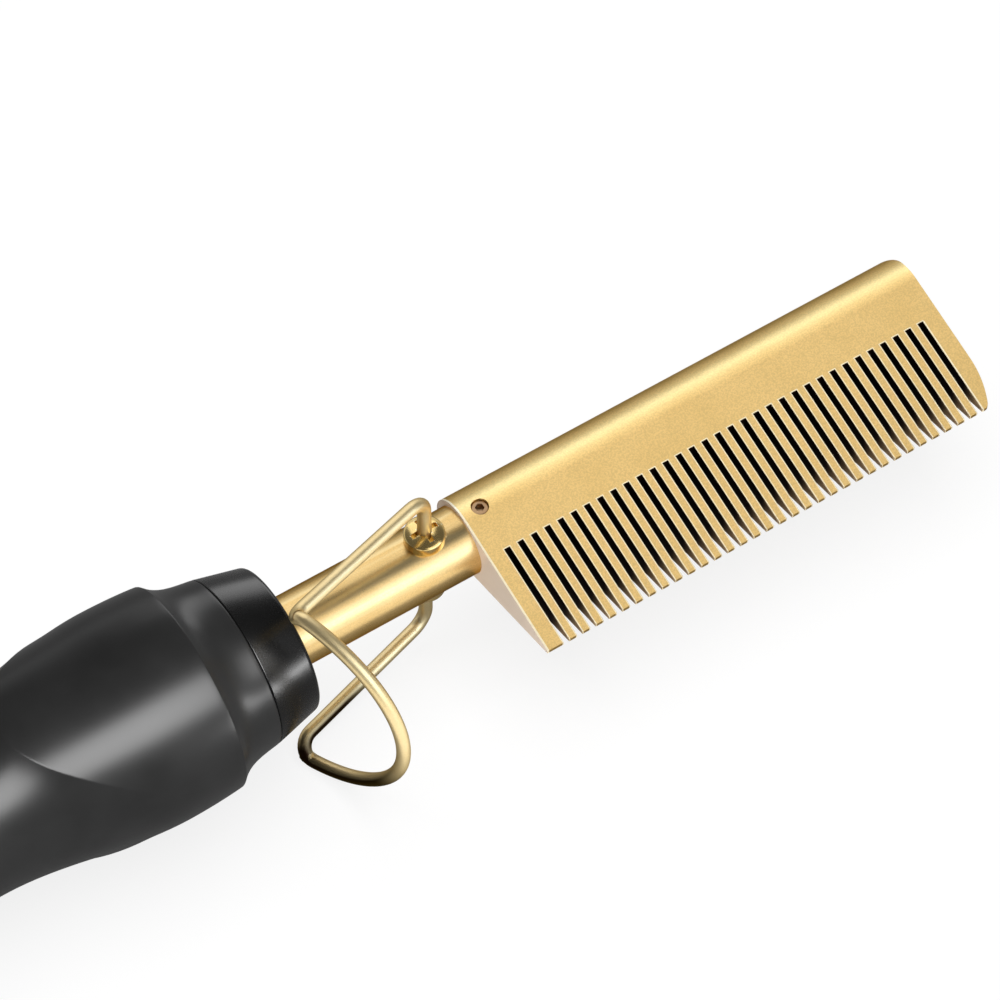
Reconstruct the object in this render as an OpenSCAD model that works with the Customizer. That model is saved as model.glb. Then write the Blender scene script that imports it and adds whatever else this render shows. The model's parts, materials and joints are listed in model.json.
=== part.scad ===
// Electric hot comb with a folding wire stand, lying on its side.
// Own axes: X runs along the barrel towards the comb's far end, the teeth point to -Y, Z is up.
// x = 0 lies on the comb's first slot, before the whole part is set over its resting point.

/* [Comb head] */
// Number of slots sawn in the comb
slot_count = 33; // [24:1:36]
// Distance from one slot to the next
slot_pitch = 3; // [2.8:0.1:3.4]
// Width of one slot
slot_w = 1.25; // [0.8:0.05:1.6]
// Distance from the barrel's axis to the closed ends of the slots
slot_top = 9.4; // [8.8:0.1:12]
// Distance from the barrel's axis to the tips of the teeth
tooth_reach = 29.9; // [24:0.1:34]
// Radius of the comb's round spine
spine_r = 8.04; // [7.9:0.02:9]
// Distance from the spine's centre to the barrel's axis, towards the teeth
spine_offset = 0.5; // [0:0.1:0.7]
// Thickness of the teeth at their tips
tip_t = 0.8; // [0.6:0.1:2]
// Solid length behind the first slot
head_back = 4.25; // [3:0.05:6]
// Solid length beyond the last slot
head_front = 4.6; // [4:0.1:8]
// Radius of the end tooth's curved outer edge
end_curve_r = 20; // [16:1:30]
// Distance from the tips at which the end tooth's outer edge starts to curve
end_curve_len = 9.9; // [7:0.1:11]
// Radius of the end tooth's corner at its tip
tip_corner_r = 1.2; // [0.8:0.1:1.6]
// Radius of the comb's far corner at the spine
spine_corner_r = 5; // [2:0.5:6]

/* [Barrel] */
// Outer diameter of the barrel
barrel_d = 14.4; // [14:0.1:15]
// Inner diameter of the barrel
barrel_bore = 10.4; // [10.2:0.1:10.8]
// Diameter of the barrel's reduced end inside the comb
spigot_d = 12.4; // [12:0.1:12.6]
// Length of the reduced end
spigot_len = 15.2; // [12:0.1:20]
// Length of barrel that shows between the comb and the collar
barrel_show = 40.4; // [38:0.1:60]
// Distance from the comb's end face back to the stand's pivot
pivot_gap = 8.15; // [7:0.05:12]

/* [Stand] */
// Diameter of the stand's wire
wire_d = 2.8; // [2.4:0.1:3]
// Distance from the barrel's axis out to each arm, at the pivot
arm_out = 21.1; // [20:0.1:22]
// Length of each arm from the pivot to the bow
arm_len = 36.5; // [35:0.1:38]
// Angle of the arms to the barrel, towards the teeth
arm_angle = 15.7; // [14:0.1:18]
// Angle of the bow to the line of the teeth
bow_angle = 21.7; // [18:0.1:26]
// Distance from the barrel's axis out to each arm, at the bow
bow_root_out = 22.5; // [21.6:0.1:23.4]
// Widest reach of the bow from the barrel's axis
bow_out = 25.5; // [25.4:0.1:28]
// Distance along the bow to its widest place
bow_wide_at = 2.5; // [2.5:0.1:4]
// Half the width of the bow where its end curve starts
bow_end_out = 21.7; // [18:0.1:22]
// Length of the bow
bow_len = 25.2; // [25:0.1:30]
// Bend radius of the wire beside the pivot
pivot_bend_r = 4; // [3:0.5:6]
// Bend radius of the wire at the two corners of the bow
corner_bend_r = 2.3; // [2:0.1:2.4]

/* [Pivot screws] */
// Diameter of the screw's head
pivot_head_d = 8; // [7:0.1:9]
// Height of the screw's head
pivot_head_h = 3.4; // [3:0.1:3.6]
// Height of the dome on the screw's head
pivot_dome_h = 1.1; // [0.8:0.1:1.4]
// Diameter of the screw's shank
pivot_shank_d = 4.8; // [4.6:0.1:5.2]
// Length of the screw's shank
pivot_shank_len = 3.8; // [3.2:0.1:4.2]
// Depth of the wire's hole in the screw
pivot_hole_depth = 3.4; // [3:0.1:3.8]
// Depth of the flat seat under the head
pivot_seat = 0.25; // [0.1:0.05:0.4]

/* [Heater] */
// Diameter of the heater's bore in the comb
heater_bore = 10; // [9.6:0.1:10.2]
// Length of the heater
heater_len = 75; // [40:1:76]
// Diameter of the heater rod
heater_d = 6.36; // [6:0.02:6.4]
// Thickness of the mica sleeve
mica_t = 0.28; // [0.2:0.02:0.3]
// Width of the spreader's split, which holds the sensor
split_w = 1.8; // [1.7:0.1:2.4]
// Diameter of the temperature sensor
sensor_d = 1.4; // [1:0.1:1.4]
// Diameter of the thermal fuse
fuse_d = 3; // [2.6:0.1:3.2]

/* [Collar and bush] */
// Length of the collar ring
collar_len = 10; // [9:0.1:12]
// Radius of the collar's front face at its rim
collar_front_r = 14.9; // [14.8:0.1:16]
// Thickness of the collar's front wall
collar_wall = 2.2; // [1.6:0.1:2.6]
// Outer radius of the shell's spigot in the collar
nose_r = 13.1; // [12.9:0.1:13.2]
// Radius of the bush's body
bush_r = 10.9; // [10.4:0.1:11]
// Length of the bush
bush_len = 13; // [12:0.1:14]
// Thickness of the bush's flange
flange_t = 4.5; // [4:0.1:5]

/* [Handle] */
// Radius of the handle at the collar's seam
seam_r = 17.3; // [17:0.1:18]
// Radius at the root of the bulge
neck_r = 18.6; // [18.2:0.1:19]
// Length of the neck
neck_len = 6.7; // [6:0.1:8]
// Radius of the bulge's front edge
bulge_edge_r = 21.1; // [20.6:0.1:21.5]
// Radius of the bulge's crown
bulge_r = 21.65; // [21.5:0.05:23]
// Distance from the bulge's front edge to its crown
crown_len = 11.4; // [9:0.1:14]
// Length over which the bulge runs down to the grip
waist_len = 37; // [34:0.5:42]
// Radius of the grip
grip_r = 17.3; // [17:0.1:18]
// Length of the even stretch of the grip
grip_len = 50; // [50:0.5:64]
// Length of the tapered stretch behind the grip
taper_len = 15; // [14:0.5:20]
// Radius of the handle's rear end
tail_r = 14.8; // [14.5:0.1:16]
// Wall thickness of the handle
wall = 2.2; // [1.8:0.1:2.4]
// Distance from the axis down to the seam of the back cover
seam_drop = 9.5; // [9.2:0.1:9.8]
// Length of the raised tongue behind the centre of its outline
tongue_len = 35.2; // [30:0.2:38]
// Half the width of the raised tongue
tongue_half_w = 22.5; // [21.8:0.1:24]
// Slope of the tongue's surface towards its tip
tongue_slope = 0.062; // [0.05:0.002:0.07]

/* [Controls] */
// Depth of the flat that is cut in the grip for the controls
flat_depth = 1.8; // [1.4:0.1:2]
// Length of the control panel
panel_len = 50; // [48:0.5:52]
// Width of the control panel
panel_w = 12; // [12:0.1:13]
// Thickness of the control panel
panel_t = 1.6; // [1.4:0.1:1.8]
// Diameter of the three buttons
button_d = 8; // [6:0.1:8.2]
// Height of the buttons above the panel
button_proud = 0.8; // [0.7:0.1:1.4]
// Travel of the buttons
button_travel = 0.6; // [0.3:0.05:0.6]
// Diameter of the level lights' lenses
lens_d = 1.6; // [1.2:0.1:1.8]
// Number of level lights
light_count = 4; // [2:1:4]

/* [Board] */
// Width of the circuit board
board_w = 23; // [20:0.5:23]
// Length of the circuit board
board_len = 48; // [46:0.5:49]
// Thickness of the circuit board
board_t = 1.6; // [1:0.1:1.6]
// Height of the switches on the board
switch_h = 3.8; // [3.6:0.1:4.2]

/* [Cord outlet] */
// Radius of the swivel's neck
neck_pin_r = 6; // [5.6:0.1:6.4]
// Radius of the bore for the cord
cord_bore_r = 3.1; // [2.5:0.1:3.2]
// Length of the gland cap
gland_len = 7.7; // [7:0.1:12]
// Length of the tail ring
tail_ring_len = 6; // [5:0.1:8]

/* [Hidden] */

// Colours
gold = "#d8b36c";
bright_gold = "#e3b95a";
black = "#2b2b2b";
steel = "#b9bcc0";
brass = "#c9a24a";
copper_tan = "#b5713a";
ceramic = "#e8e2d4";
board_green = "#2f6b3c";

// Fits
close_fit = 0.05;
slide_fit = 0.1;
free_gap = 0.3;
step_over = 1;

// Length of the step from the neck up to the bulge's front edge
neck_step = 3.3;

// Stations along the barrel
head_near_x = -head_back;
head_far_x = (slot_count - 1) * slot_pitch + head_front;
pivot_x = head_near_x - pivot_gap;
collar_x = head_near_x - barrel_show;
seam_x = collar_x - collar_len;
neck_x = seam_x - neck_len;
bulge_x = neck_x - neck_step;
crown_x = bulge_x - crown_len;
waist_x = crown_x - waist_len;
grip_end_x = waist_x - grip_len;
tail_x = grip_end_x - taper_len;
gland_x = tail_x - tail_ring_len - free_gap;
rear_x = gland_x - gland_len;

// Comb section
tip_corner = [tooth_reach + spine_offset, tip_t / 2];
flank_angle = asin(spine_r / norm(tip_corner)) - atan2(tip_corner.y, tip_corner.x);
spigot_r = spigot_d / 2;
spigot_far_x = head_near_x + spigot_len;
barrel_r = barrel_d / 2;
bore_r = barrel_bore / 2;

// Set screw of the comb
head_screw_r = 1.7;
head_screw_low_z = bore_r + 0.2;
head_screw_high_z = spine_r - 0.55;
head_screw_hex_r = 0.9;
head_screw_hex_depth = 1;

// Heater stations
heater_x = spigot_far_x + 1.5;
heater_bore_far_x = heater_x + heater_len + 2;
mica_r = heater_d / 2 + mica_t + 0.02;
spreader_r = heater_bore / 2 - 0.02;
sensor_y = -(mica_r + close_fit + sensor_d / 2);
sensor_len = 4;
sensor_x = heater_x + 2;
fuse_len = 10;
fuse_x = pivot_x - 12;
fuse_y = 3;

// Stand
wire_r = wire_d / 2;
pivot_z = barrel_r - pivot_seat;
pivot_top_z = pivot_z + pivot_head_h;
pin_end_z = pivot_top_z - pivot_hole_depth + 0.2;
pin_top_z = pivot_top_z + 1;
bow_root = [pivot_x - arm_len * cos(arm_angle), -arm_len * sin(arm_angle), bow_root_out];
bow_dir = [sin(bow_angle), -cos(bow_angle), 0];
bow_wide = [bow_root.x, bow_root.y, bow_out] + bow_wide_at * bow_dir;
bow_end = [bow_root.x, bow_root.y, bow_end_out] + bow_len * bow_dir;
bow_apex = [bow_end.x, bow_end.y, 0];
bow_side = norm(bow_end - bow_wide);
half_turn_at_wide = turn_at(bow_root, bow_wide, bow_end) / 2;
half_turn_at_end = turn_at(bow_wide, bow_end, bow_apex) / 2;
bow_end_reach = min(bow_end_out, bow_side - corner_bend_r * tan(half_turn_at_wide)) - 0.05;
bow_end_r = bow_end_reach / tan(half_turn_at_end);
half_points = [[pivot_x, 0, pin_top_z - 0.5], [pivot_x, 0, arm_out], bow_root, bow_wide, bow_end];
half_radii = [pivot_bend_r, corner_bend_r, corner_bend_r, bow_end_r];
stand_points = concat(half_points, [for (i = [4 : -1 : 0]) below(half_points[i])]);
stand_radii = concat(half_radii, [for (i = [3 : -1 : 0]) half_radii[i]]);

// Lowest place of the wire, where its side is parallel to the barrel's plane
wide_centre = fillet_centre(bow_root, bow_wide, bow_end, corner_bend_r);
stand_low = wide_centre.z + corner_bend_r + wire_r;

// Bush and collar
flange_x = collar_x - collar_wall - 0.2;
flange_rear_x = flange_x - flange_t;
bush_rear_x = flange_x - bush_len;
bush_flange_r = nose_r - slide_fit;
collar_bore_r = nose_r + slide_fit;
bush_hole_r = barrel_r + close_fit;
nose_x = flange_rear_x - 0.2;
bush_screw_r = 1.5;
bush_screw_x = flange_x - flange_t / 2;
bush_screw_hex_r = 0.85;
bush_screw_hex_depth = 1.2;
clip_x = bush_rear_x - 1.2;
clip_t = 0.9;
clip_groove_r = barrel_r - 0.6;
clip_r = 9;
barrel_rear_x = clip_x - 2.5;

// Handle
cavity_x = bush_rear_x;
rear_wall_t = 6;
rear_wall_x = tail_x + rear_wall_t;
rear_wall_bore_r = neck_pin_r + 0.08;
tongue_x = crown_x + 8;
tongue_fn = 48;

// Controls, from the flat downwards
flat_z = grip_r - flat_depth;
flat_len = panel_len + 6;
flat_w = panel_w + 6;
panel_z = flat_z - panel_t;
ledge_t = 1.6;
ledge_w = 0.7;
roof_z = panel_z - ledge_t;
controls_x = waist_x - grip_len / 2 - 2;
power_x = controls_x + 17;
lights_x = controls_x + 8;
down_x = controls_x - 2.5;
up_x = controls_x - 13.5;
button_r = button_d / 2;
button_fit = 0.15;
button_flange_r = button_r + 0.8;
button_flange_t = 0.8;
light_pitch = 2.4;
switch_w = 6;
switch_stem_r = 1.6;
switch_stem_h = 0.6;

// Board under the roof of the shell
board_z = roof_z - switch_h;
board_low_z = board_z - board_t;
board_x = controls_x + board_len / 2 + 6;
board_rear_x = board_x - board_len;
board_hole_x = 3.5;
board_hole_y = 8.8;
board_boss_r = 2.4;
board_screw_r = 1;
board_screw_head_r = 1.9;
board_screw_head_h = 1.2;
block_x = board_x - 6;
block_w = 17;
block_len = 8;
block_h = 7;
block_poles = [-6, -2, 2, 6];
mains_block_w = 13;
mains_poles = [-4.6, 4.6];
mains_turn_len = 4;
lead_z = board_low_z - 4.8;

// Cover screws
cover_screw_places = [
    [crown_x - 4, 13], [crown_x - 4, -13],
    [grip_end_x + 13, 10], [grip_end_x + 13, -10]
];
cover_boss_r = 3.2;
cover_boss_top_z = 1;
cover_seat_z = -seam_drop - 3;
cover_head_r = 2.3;
cover_head_h = 1.6;
cover_shank_r = 1.3;
cover_shank_len = 10;

// Swivel
swivel_flange_x = rear_wall_x + free_gap;
swivel_flange_t = 2;
swivel_flange_r = 9;
spindle_r = 4.6;
spindle_len = 10;
spindle_end_t = 1.5;
spindle_x = swivel_flange_x + swivel_flange_t + spindle_len;
ring_r = 5.6;
ring_w = 1.6;
ring_inset = 3;
ring_pitch = 4;
ring_places = [spindle_x - ring_inset, spindle_x - ring_inset - ring_pitch];
stub_len = 3.7;
leaf_t = 0.3;
leaf_w = 1.2;
contact_gap = 0.2;
contact_z = -seam_drop + contact_gap;
contact_t = 2.3;
contact_margin = 1.9;
contact_x = ring_places[0] + leaf_w / 2 + contact_margin;
contact_len = 9;

// Leads
lead_d = 1.3;
sensor_lead_d = 0.8;
lead_bend_r = 3;
lead_run = 8;
lead_side_y = 1.5;
lead_exit_len = 6;
fuse_run_len = 6;
fuse_tail_len = 2;

// The part is set over its resting point
mid_x = (head_far_x + rear_x) / 2;
bow_reach = -bow_apex.y + wire_r;
mid_y = (bulge_r - max(bow_reach, tooth_reach)) / 2;

// Angle by which a path turns at point b
function turn_at(a, b, c) = acos((b - a) * (c - b) / norm(b - a) / norm(c - b));
function unit(v) = v / norm(v);
function below(p) = [p.x, p.y, -p.z];

// Centre of the arc of radius r that rounds the corner at b
function fillet_centre(a, b, c, r) =
    b + unit(unit(a - b) + unit(c - b)) * r / cos(turn_at(a, b, c) / 2);

function ease(t) = t * t * (3 - 2 * t);

// Points of an arc in the plane, from angle a0 to a1
function arc(centre, r, a0, a1, steps) =
    [for (i = [0 : steps]) centre + r * [cos(a0 + (a1 - a0) * i / steps), sin(a0 + (a1 - a0) * i / steps)]];

// Handle outline behind the neck, as x and radius, drawn in by t
function bulge_outline(t) = [
    for (i = [0 : 5]) [bulge_x - crown_len * i / 5,
        bulge_r - (bulge_r - bulge_edge_r) * pow(1 - i / 5, 2) - t]
];
function waist_outline(t) = [
    for (i = [1 : 14]) [crown_x - waist_len * i / 14,
        bulge_r + (grip_r - bulge_r) * ease(i / 14) - t]
];
function tail_radius(s) = grip_r - (grip_r - tail_r) * pow(s, 2);

module placed() {
    translate([-mid_x, -mid_y, stand_low]) children();
}

// Solid of revolution about the barrel's axis, from points of x and radius
module turned(profile) {
    rotate([0, 90, 0]) rotate_extrude($fn = 96) polygon([for (p = profile) [p.y, p.x]]);
}

// Tube or rod along X, from x0 to x1
module rod(x0, x1, r, fn = 64) {
    translate([min(x0, x1), 0, 0]) rotate([0, 90, 0]) cylinder(r = r, h = abs(x1 - x0), $fn = fn);
}

module tube(x0, x1, r, bore, fn = 64) {
    difference() {
        rod(x0, x1, r, fn);
        rod(min(x0, x1) - step_over, max(x0, x1) + step_over, bore, fn);
    }
}

// Points of the arc that rounds the corner at b
function corner_arc(a, b, c, r, steps) =
    let(
        turn = turn_at(a, b, c),
        centre = fillet_centre(a, b, c, r),
        v = unit(b - a),
        out = unit(b - v * r * tan(turn / 2) - centre)
    )
    [for (i = [0 : steps]) centre + r * (out * cos(turn * i / steps) + v * sin(turn * i / steps))];

// Route through the points, with its corners rounded
function rounded_route(points, radii, steps) = [
    points[0],
    for (i = [1 : len(points) - 2])
        each corner_arc(points[i - 1], points[i], points[i + 1], radii[i - 1], steps),
    points[len(points) - 1]
];

// Direction of the route at each of its points
function route_tangents(route) = [
    for (i = [0 : len(route) - 1])
        i == 0
            ? unit(route[1] - route[0])
            : i == len(route) - 1
                ? unit(route[i] - route[i - 1])
                : unit(unit(route[i + 1] - route[i]) + unit(route[i] - route[i - 1]))
];

// Side direction at each point, carried along without twist
function carried_sides(tangents, i, side) =
    i == len(tangents)
        ? []
        : let(next = unit(side - (side * tangents[i]) * tangents[i]))
            concat([next], carried_sides(tangents, i + 1, next));

// Round wire swept along the route
module swept_wire(route, r, sides) {
    tangents = route_tangents(route);
    normals = carried_sides(tangents, 0, cross(tangents[0], [1, 2, 3]));
    last = len(route) - 1;
    points = [
        for (i = [0 : last], k = [0 : sides - 1])
            route[i] + r * (cos(360 * k / sides) * normals[i]
                + sin(360 * k / sides) * cross(tangents[i], normals[i]))
    ];
    walls = [
        for (i = [0 : last - 1], k = [0 : sides - 1])
            let(
                a = i * sides + k,
                b = i * sides + (k + 1) % sides,
                c = b + sides,
                d = a + sides
            )
            each [[a, d, c], [a, c, b]]
    ];
    ends = [[for (k = [0 : sides - 1]) k], [for (k = [sides - 1 : -1 : 0]) last * sides + k]];
    polyhedron(points, concat(walls, ends));
}

// Flat plate with round ends, its length along X
module stadium(x, length, width, z0, z1) {
    translate([x, 0, z0]) linear_extrude(z1 - z0) {
        square([length - width, width], center = true);
        for (s = [-1, 1]) translate([s * (length - width) / 2, 0]) circle(d = width, $fn = 64);
    }
}

module box(x0, x1, y0, y1, z0, z1) {
    translate([min(x0, x1), y0, z0]) cube([abs(x1 - x0), y1 - y0, z1 - z0]);
}

// Wedge section of the comb, seen along the barrel: first axis towards the teeth, second up
module comb_section() {
    polygon(concat(
        arc([-spine_offset, 0], spine_r, 90 - flank_angle, 270 + flank_angle, 48),
        [[tooth_reach, -tip_t / 2], [tooth_reach, tip_t / 2]]
    ));
}

// Side outline of the comb, in X and Y
module comb_outline() {
    top_y = spine_r + spine_offset + step_over;
    end_centre = [head_far_x - end_curve_r, -tooth_reach + end_curve_len];
    corner_down = end_curve_len - tip_corner_r;
    corner_out = sqrt(pow(end_curve_r - tip_corner_r, 2) - pow(corner_down, 2));
    corner_angle = atan2(corner_down, corner_out);
    corner_centre = end_centre + [corner_out, -corner_down];
    polygon(concat(
        [[head_near_x, top_y], [head_near_x, -tooth_reach - step_over]],
        [[corner_centre.x, -tooth_reach - step_over]],
        arc(corner_centre, tip_corner_r, -90, -corner_angle, 6),
        arc(end_centre, end_curve_r, -corner_angle, 0, 8),
        arc([head_far_x - spine_corner_r, spine_r + spine_offset - spine_corner_r],
            spine_corner_r, 0, 90, 8),
        [[head_far_x - spine_corner_r, top_y]]
    ));
}

module comb_head() {
    color(gold) placed() difference() {
        intersection() {
            translate([head_near_x, 0, 0]) multmatrix([[0, 0, 1, 0], [-1, 0, 0, 0], [0, 1, 0, 0], [0, 0, 0, 1]])
                linear_extrude(head_far_x - head_near_x) comb_section();
            linear_extrude(4 * spine_r, center = true) comb_outline();
        }
        for (i = [0 : slot_count - 1])
            box(i * slot_pitch - slot_w / 2, i * slot_pitch + slot_w / 2,
                -tooth_reach - step_over, -slot_top, -spine_r, spine_r);
        rod(head_near_x - step_over, spigot_far_x + 0.2, spigot_r + close_fit);
        rod(spigot_far_x, heater_bore_far_x, heater_bore / 2);
        cylinder(r = head_screw_r + close_fit, h = 2 * spine_r, $fn = 32);
    }
}

module head_set_screw() {
    color(steel) placed() difference() {
        translate([0, 0, head_screw_low_z])
            cylinder(r = head_screw_r, h = head_screw_high_z - head_screw_low_z, $fn = 32);
        translate([0, 0, head_screw_high_z - head_screw_hex_depth])
            cylinder(r = head_screw_hex_r, h = head_screw_hex_depth + step_over, $fn = 6);
    }
}

module barrel_tube() {
    color(gold) placed() difference() {
        union() {
            rod(barrel_rear_x, head_near_x, barrel_r);
            rod(head_near_x, spigot_far_x, spigot_r);
        }
        rod(barrel_rear_x - step_over, spigot_far_x + step_over, bore_r);
        difference() {
            rod(clip_x, clip_x + clip_t + 0.1, barrel_r + step_over);
            rod(clip_x - step_over, clip_x + clip_t + step_over, clip_groove_r);
        }
        translate([pivot_x, 0, 0])
            cylinder(r = pivot_shank_d / 2 + close_fit, h = 2 * barrel_d, center = true, $fn = 48);
        for (s = [0, 1]) mirror([0, 0, s]) translate([pivot_x, 0, pivot_z])
            cylinder(r = pivot_head_d / 2 + 0.2, h = step_over, $fn = 48);
        cylinder(r = head_screw_r + close_fit, h = barrel_d, $fn = 32);
    }
}

// Head of the pivot screw: an upright rim under a dome
module pan_head(r, h, dome_h) {
    dome_r = (pow(r, 2) + pow(dome_h, 2)) / (2 * dome_h);
    rotate_extrude($fn = 64) intersection() {
        translate([0, h - dome_r]) circle(dome_r, $fn = 128);
        square([r, h]);
    }
}

module pivot_screws() {
    recess_w = 1;
    recess_len = 5.6;
    recess_depth = 1.4;
    color(bright_gold) placed() for (s = [0, 1]) mirror([0, 0, s]) translate([pivot_x, 0, pivot_z]) {
        difference() {
            union() {
                pan_head(pivot_head_d / 2, pivot_head_h, pivot_dome_h);
                translate([0, 0, -pivot_shank_len]) cylinder(d = pivot_shank_d, h = pivot_shank_len, $fn = 48);
            }
            translate([0, 0, pivot_head_h - pivot_hole_depth])
                cylinder(r = wire_r + close_fit, h = pivot_hole_depth + step_over, $fn = 48);
            for (a = [0, 90]) rotate([0, 0, a])
                translate([-recess_len / 2, -recess_w / 2, pivot_head_h - recess_depth])
                    cube([recess_len, recess_w, recess_depth + step_over]);
        }
    }
}

module stand_wire() {
    color(bright_gold) placed() {
        swept_wire(rounded_route(stand_points, stand_radii, 8), wire_r - 0.01, 16);
        for (s = [0, 1]) mirror([0, 0, s]) translate([pivot_x, 0, pin_end_z])
            cylinder(r = wire_r, h = pin_top_z - pin_end_z, $fn = 48);
    }
}

module heater_rod() {
    color(ceramic) placed() rod(heater_x, heater_x + heater_len, heater_d / 2);
}

module mica_sleeve() {
    color(copper_tan) placed() tube(heater_x, heater_x + heater_len, mica_r, heater_d / 2 + 0.02);
}

module heat_spreader() {
    color(steel) placed() difference() {
        tube(heater_x, heater_x + heater_len, spreader_r, mica_r + 0.02);
        box(heater_x - step_over, heater_x + heater_len + step_over, -heater_bore, 0,
            -split_w / 2, split_w / 2);
    }
}

module temperature_sensor() {
    color(ceramic) placed() translate([0, sensor_y, 0]) rod(sensor_x, sensor_x + sensor_len, sensor_d / 2, 24);
}

module thermal_fuse() {
    color(steel) placed() translate([0, fuse_y, 0]) {
        rod(fuse_x - fuse_len, fuse_x, fuse_d / 2, 32);
    }
}

module lead(points, d) {
    swept_wire(rounded_route(points, [for (p = points) lead_bend_r], 3), d / 2, 8);
}

// Two leads from the heater to the front terminal block, one of them by way of the fuse
module heater_leads() {
    exit_x = barrel_rear_x - lead_exit_len;
    color("#e6e0d0") placed() {
        lead([[heater_x, lead_side_y, 0], [fuse_x + fuse_run_len, lead_side_y, 0],
            [fuse_x + fuse_tail_len, fuse_y, 0], [fuse_x, fuse_y, 0]], lead_d);
        lead([[fuse_x - fuse_len, fuse_y, 0], [exit_x, fuse_y, 0],
            [board_x + lead_run, block_poles[3], lead_z], [block_x, block_poles[3], lead_z]], lead_d);
        lead([[heater_x, -lead_side_y, 0], [exit_x, -lead_side_y, 0],
            [board_x + lead_run, block_poles[2], lead_z], [block_x, block_poles[2], lead_z]], lead_d);
    }
}

module sensor_leads() {
    color("#f2efe6") placed() for (s = [-1, 1]) {
        side_z = s * (sensor_lead_d / 2 + close_fit);
        end_y = block_poles[s < 0 ? 1 : 0];
        lead([[sensor_x, sensor_y, side_z], [barrel_rear_x - lead_exit_len / 2, sensor_y, side_z],
            [board_x + lead_run, end_y, lead_z], [block_x, end_y, lead_z]], sensor_lead_d);
    }
}

module barrel_bush() {
    color(ceramic) placed() difference() {
        union() {
            rod(flange_rear_x, flange_x, bush_flange_r);
            rod(bush_rear_x, flange_rear_x, bush_r);
        }
        rod(bush_rear_x - step_over, flange_x + step_over, bush_hole_r);
        translate([bush_screw_x, 0, 0]) cylinder(r = bush_screw_r + close_fit, h = 2 * nose_r, $fn = 32);
    }
}

module bush_set_screw() {
    length = bush_flange_r - bush_hole_r - 0.6;
    color(steel) placed() translate([bush_screw_x, 0, bush_hole_r]) difference() {
        cylinder(r = bush_screw_r, h = length, $fn = 32);
        translate([0, 0, length - bush_screw_hex_depth])
            cylinder(r = bush_screw_hex_r, h = bush_screw_hex_depth + step_over, $fn = 6);
    }
}

module barrel_circlip() {
    color(steel) placed() difference() {
        tube(clip_x + 0.05, clip_x + 0.05 + clip_t, clip_r, clip_groove_r + close_fit);
        box(clip_x - step_over, clip_x + 2 * step_over, -1.5, 1.5, -2 * clip_r, 0);
    }
}

module collar_ring() {
    edge_r = 1.2;
    color(black) placed() turned(concat(
        [[seam_x, collar_bore_r], [collar_x - collar_wall, collar_bore_r]],
        [[collar_x - collar_wall, barrel_r + free_gap], [collar_x, barrel_r + free_gap]],
        arc([collar_x - edge_r, collar_front_r - edge_r], edge_r, 0, 80, 5),
        [[seam_x, seam_r]]
    ));
}

// Handle with its tongue shaped lands, before it is hollowed and parted
module handle_body() {
    turned(concat(
        [[nose_x, 0], [nose_x, nose_r], [seam_x, nose_r], [seam_x, seam_r], [neck_x, neck_r],
            [neck_x - 0.4, neck_r + 0.8], [bulge_x + 1.1, bulge_edge_r - 0.3]],
        bulge_outline(0),
        waist_outline(0),
        [for (i = [0 : 6]) [grip_end_x - taper_len * i / 6, tail_radius(i / 6)]],
        [[tail_x, 0]]
    ));
    intersection() {
        turned([[crown_x, 0], [crown_x, bulge_r - 0.01],
            [tongue_x - tongue_len - 1, bulge_r - tongue_slope * (crown_x - tongue_x + tongue_len)],
            [tongue_x - tongue_len - 1, 0]]);
        translate([tongue_x, 0, 0]) linear_extrude(3 * bulge_r, center = true)
            polygon([for (i = [0 : tongue_fn - 1])
                [tongue_len * cos(360 * i / tongue_fn), tongue_half_w * sin(360 * i / tongue_fn)]]);
    }
}

module handle_cavity() {
    turned(concat(
        [[nose_x + step_over, 0], [nose_x + step_over, bush_r + slide_fit], [cavity_x, bush_r + slide_fit],
            [cavity_x - 1, neck_r - wall - 2]],
        bulge_outline(wall),
        waist_outline(wall),
        [[grip_end_x, grip_r - wall], [rear_wall_x, tail_radius(0.6) - wall]],
        [[rear_wall_x, rear_wall_bore_r], [tail_x - step_over, rear_wall_bore_r], [tail_x - step_over, 0]]
    ));
}

// Posts of the cover screws with their webs to the side walls, from z0 to z1
module cover_bosses(z0, z1) {
    for (p = cover_screw_places) {
        translate([p.x, p.y, z0]) cylinder(r = cover_boss_r, h = z1 - z0, $fn = 48);
        box(p.x - 1.5, p.x + 1.5, min(p.y, sign(p.y) * bulge_r), max(p.y, sign(p.y) * bulge_r), z0, z1);
    }
}

module board_boss_places() {
    for (x = [board_x - board_hole_x, board_rear_x + board_hole_x], s = [-1, 1])
        translate([x, s * board_hole_y, 0]) children();
}

// Material that stays inside the cavity of the upper shell
module shell_inside() {
    box(controls_x - flat_len / 2 - 1, controls_x + flat_len / 2 + 1, -bulge_r, bulge_r, roof_z, bulge_r);
    board_boss_places() translate([0, 0, board_z]) cylinder(r = board_boss_r, h = grip_r - board_z, $fn = 48);
    cover_bosses(-seam_drop - step_over, cover_boss_top_z);
}

module handle_shell() {
    color(black) placed() difference() {
        handle_body();
        box(tail_x - step_over, nose_x + step_over, -2 * bulge_r, 2 * bulge_r, -2 * bulge_r, -seam_drop);
        difference() {
            handle_cavity();
            shell_inside();
        }
        stadium(controls_x, flat_len, flat_w, flat_z, 2 * grip_r);
        stadium(controls_x, panel_len + slide_fit, panel_w + slide_fit, panel_z, 2 * grip_r);
        stadium(controls_x, panel_len - 2 * ledge_w, panel_w - 2 * ledge_w, 0, 2 * grip_r);
        board_boss_places() cylinder(r = board_screw_r + close_fit, h = board_z + 3.2, $fn = 32);
        for (p = cover_screw_places) translate([p.x, p.y, cover_seat_z])
            cylinder(r = cover_shank_r + close_fit, h = cover_shank_len + 0.5, $fn = 32);
    }
}

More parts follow.
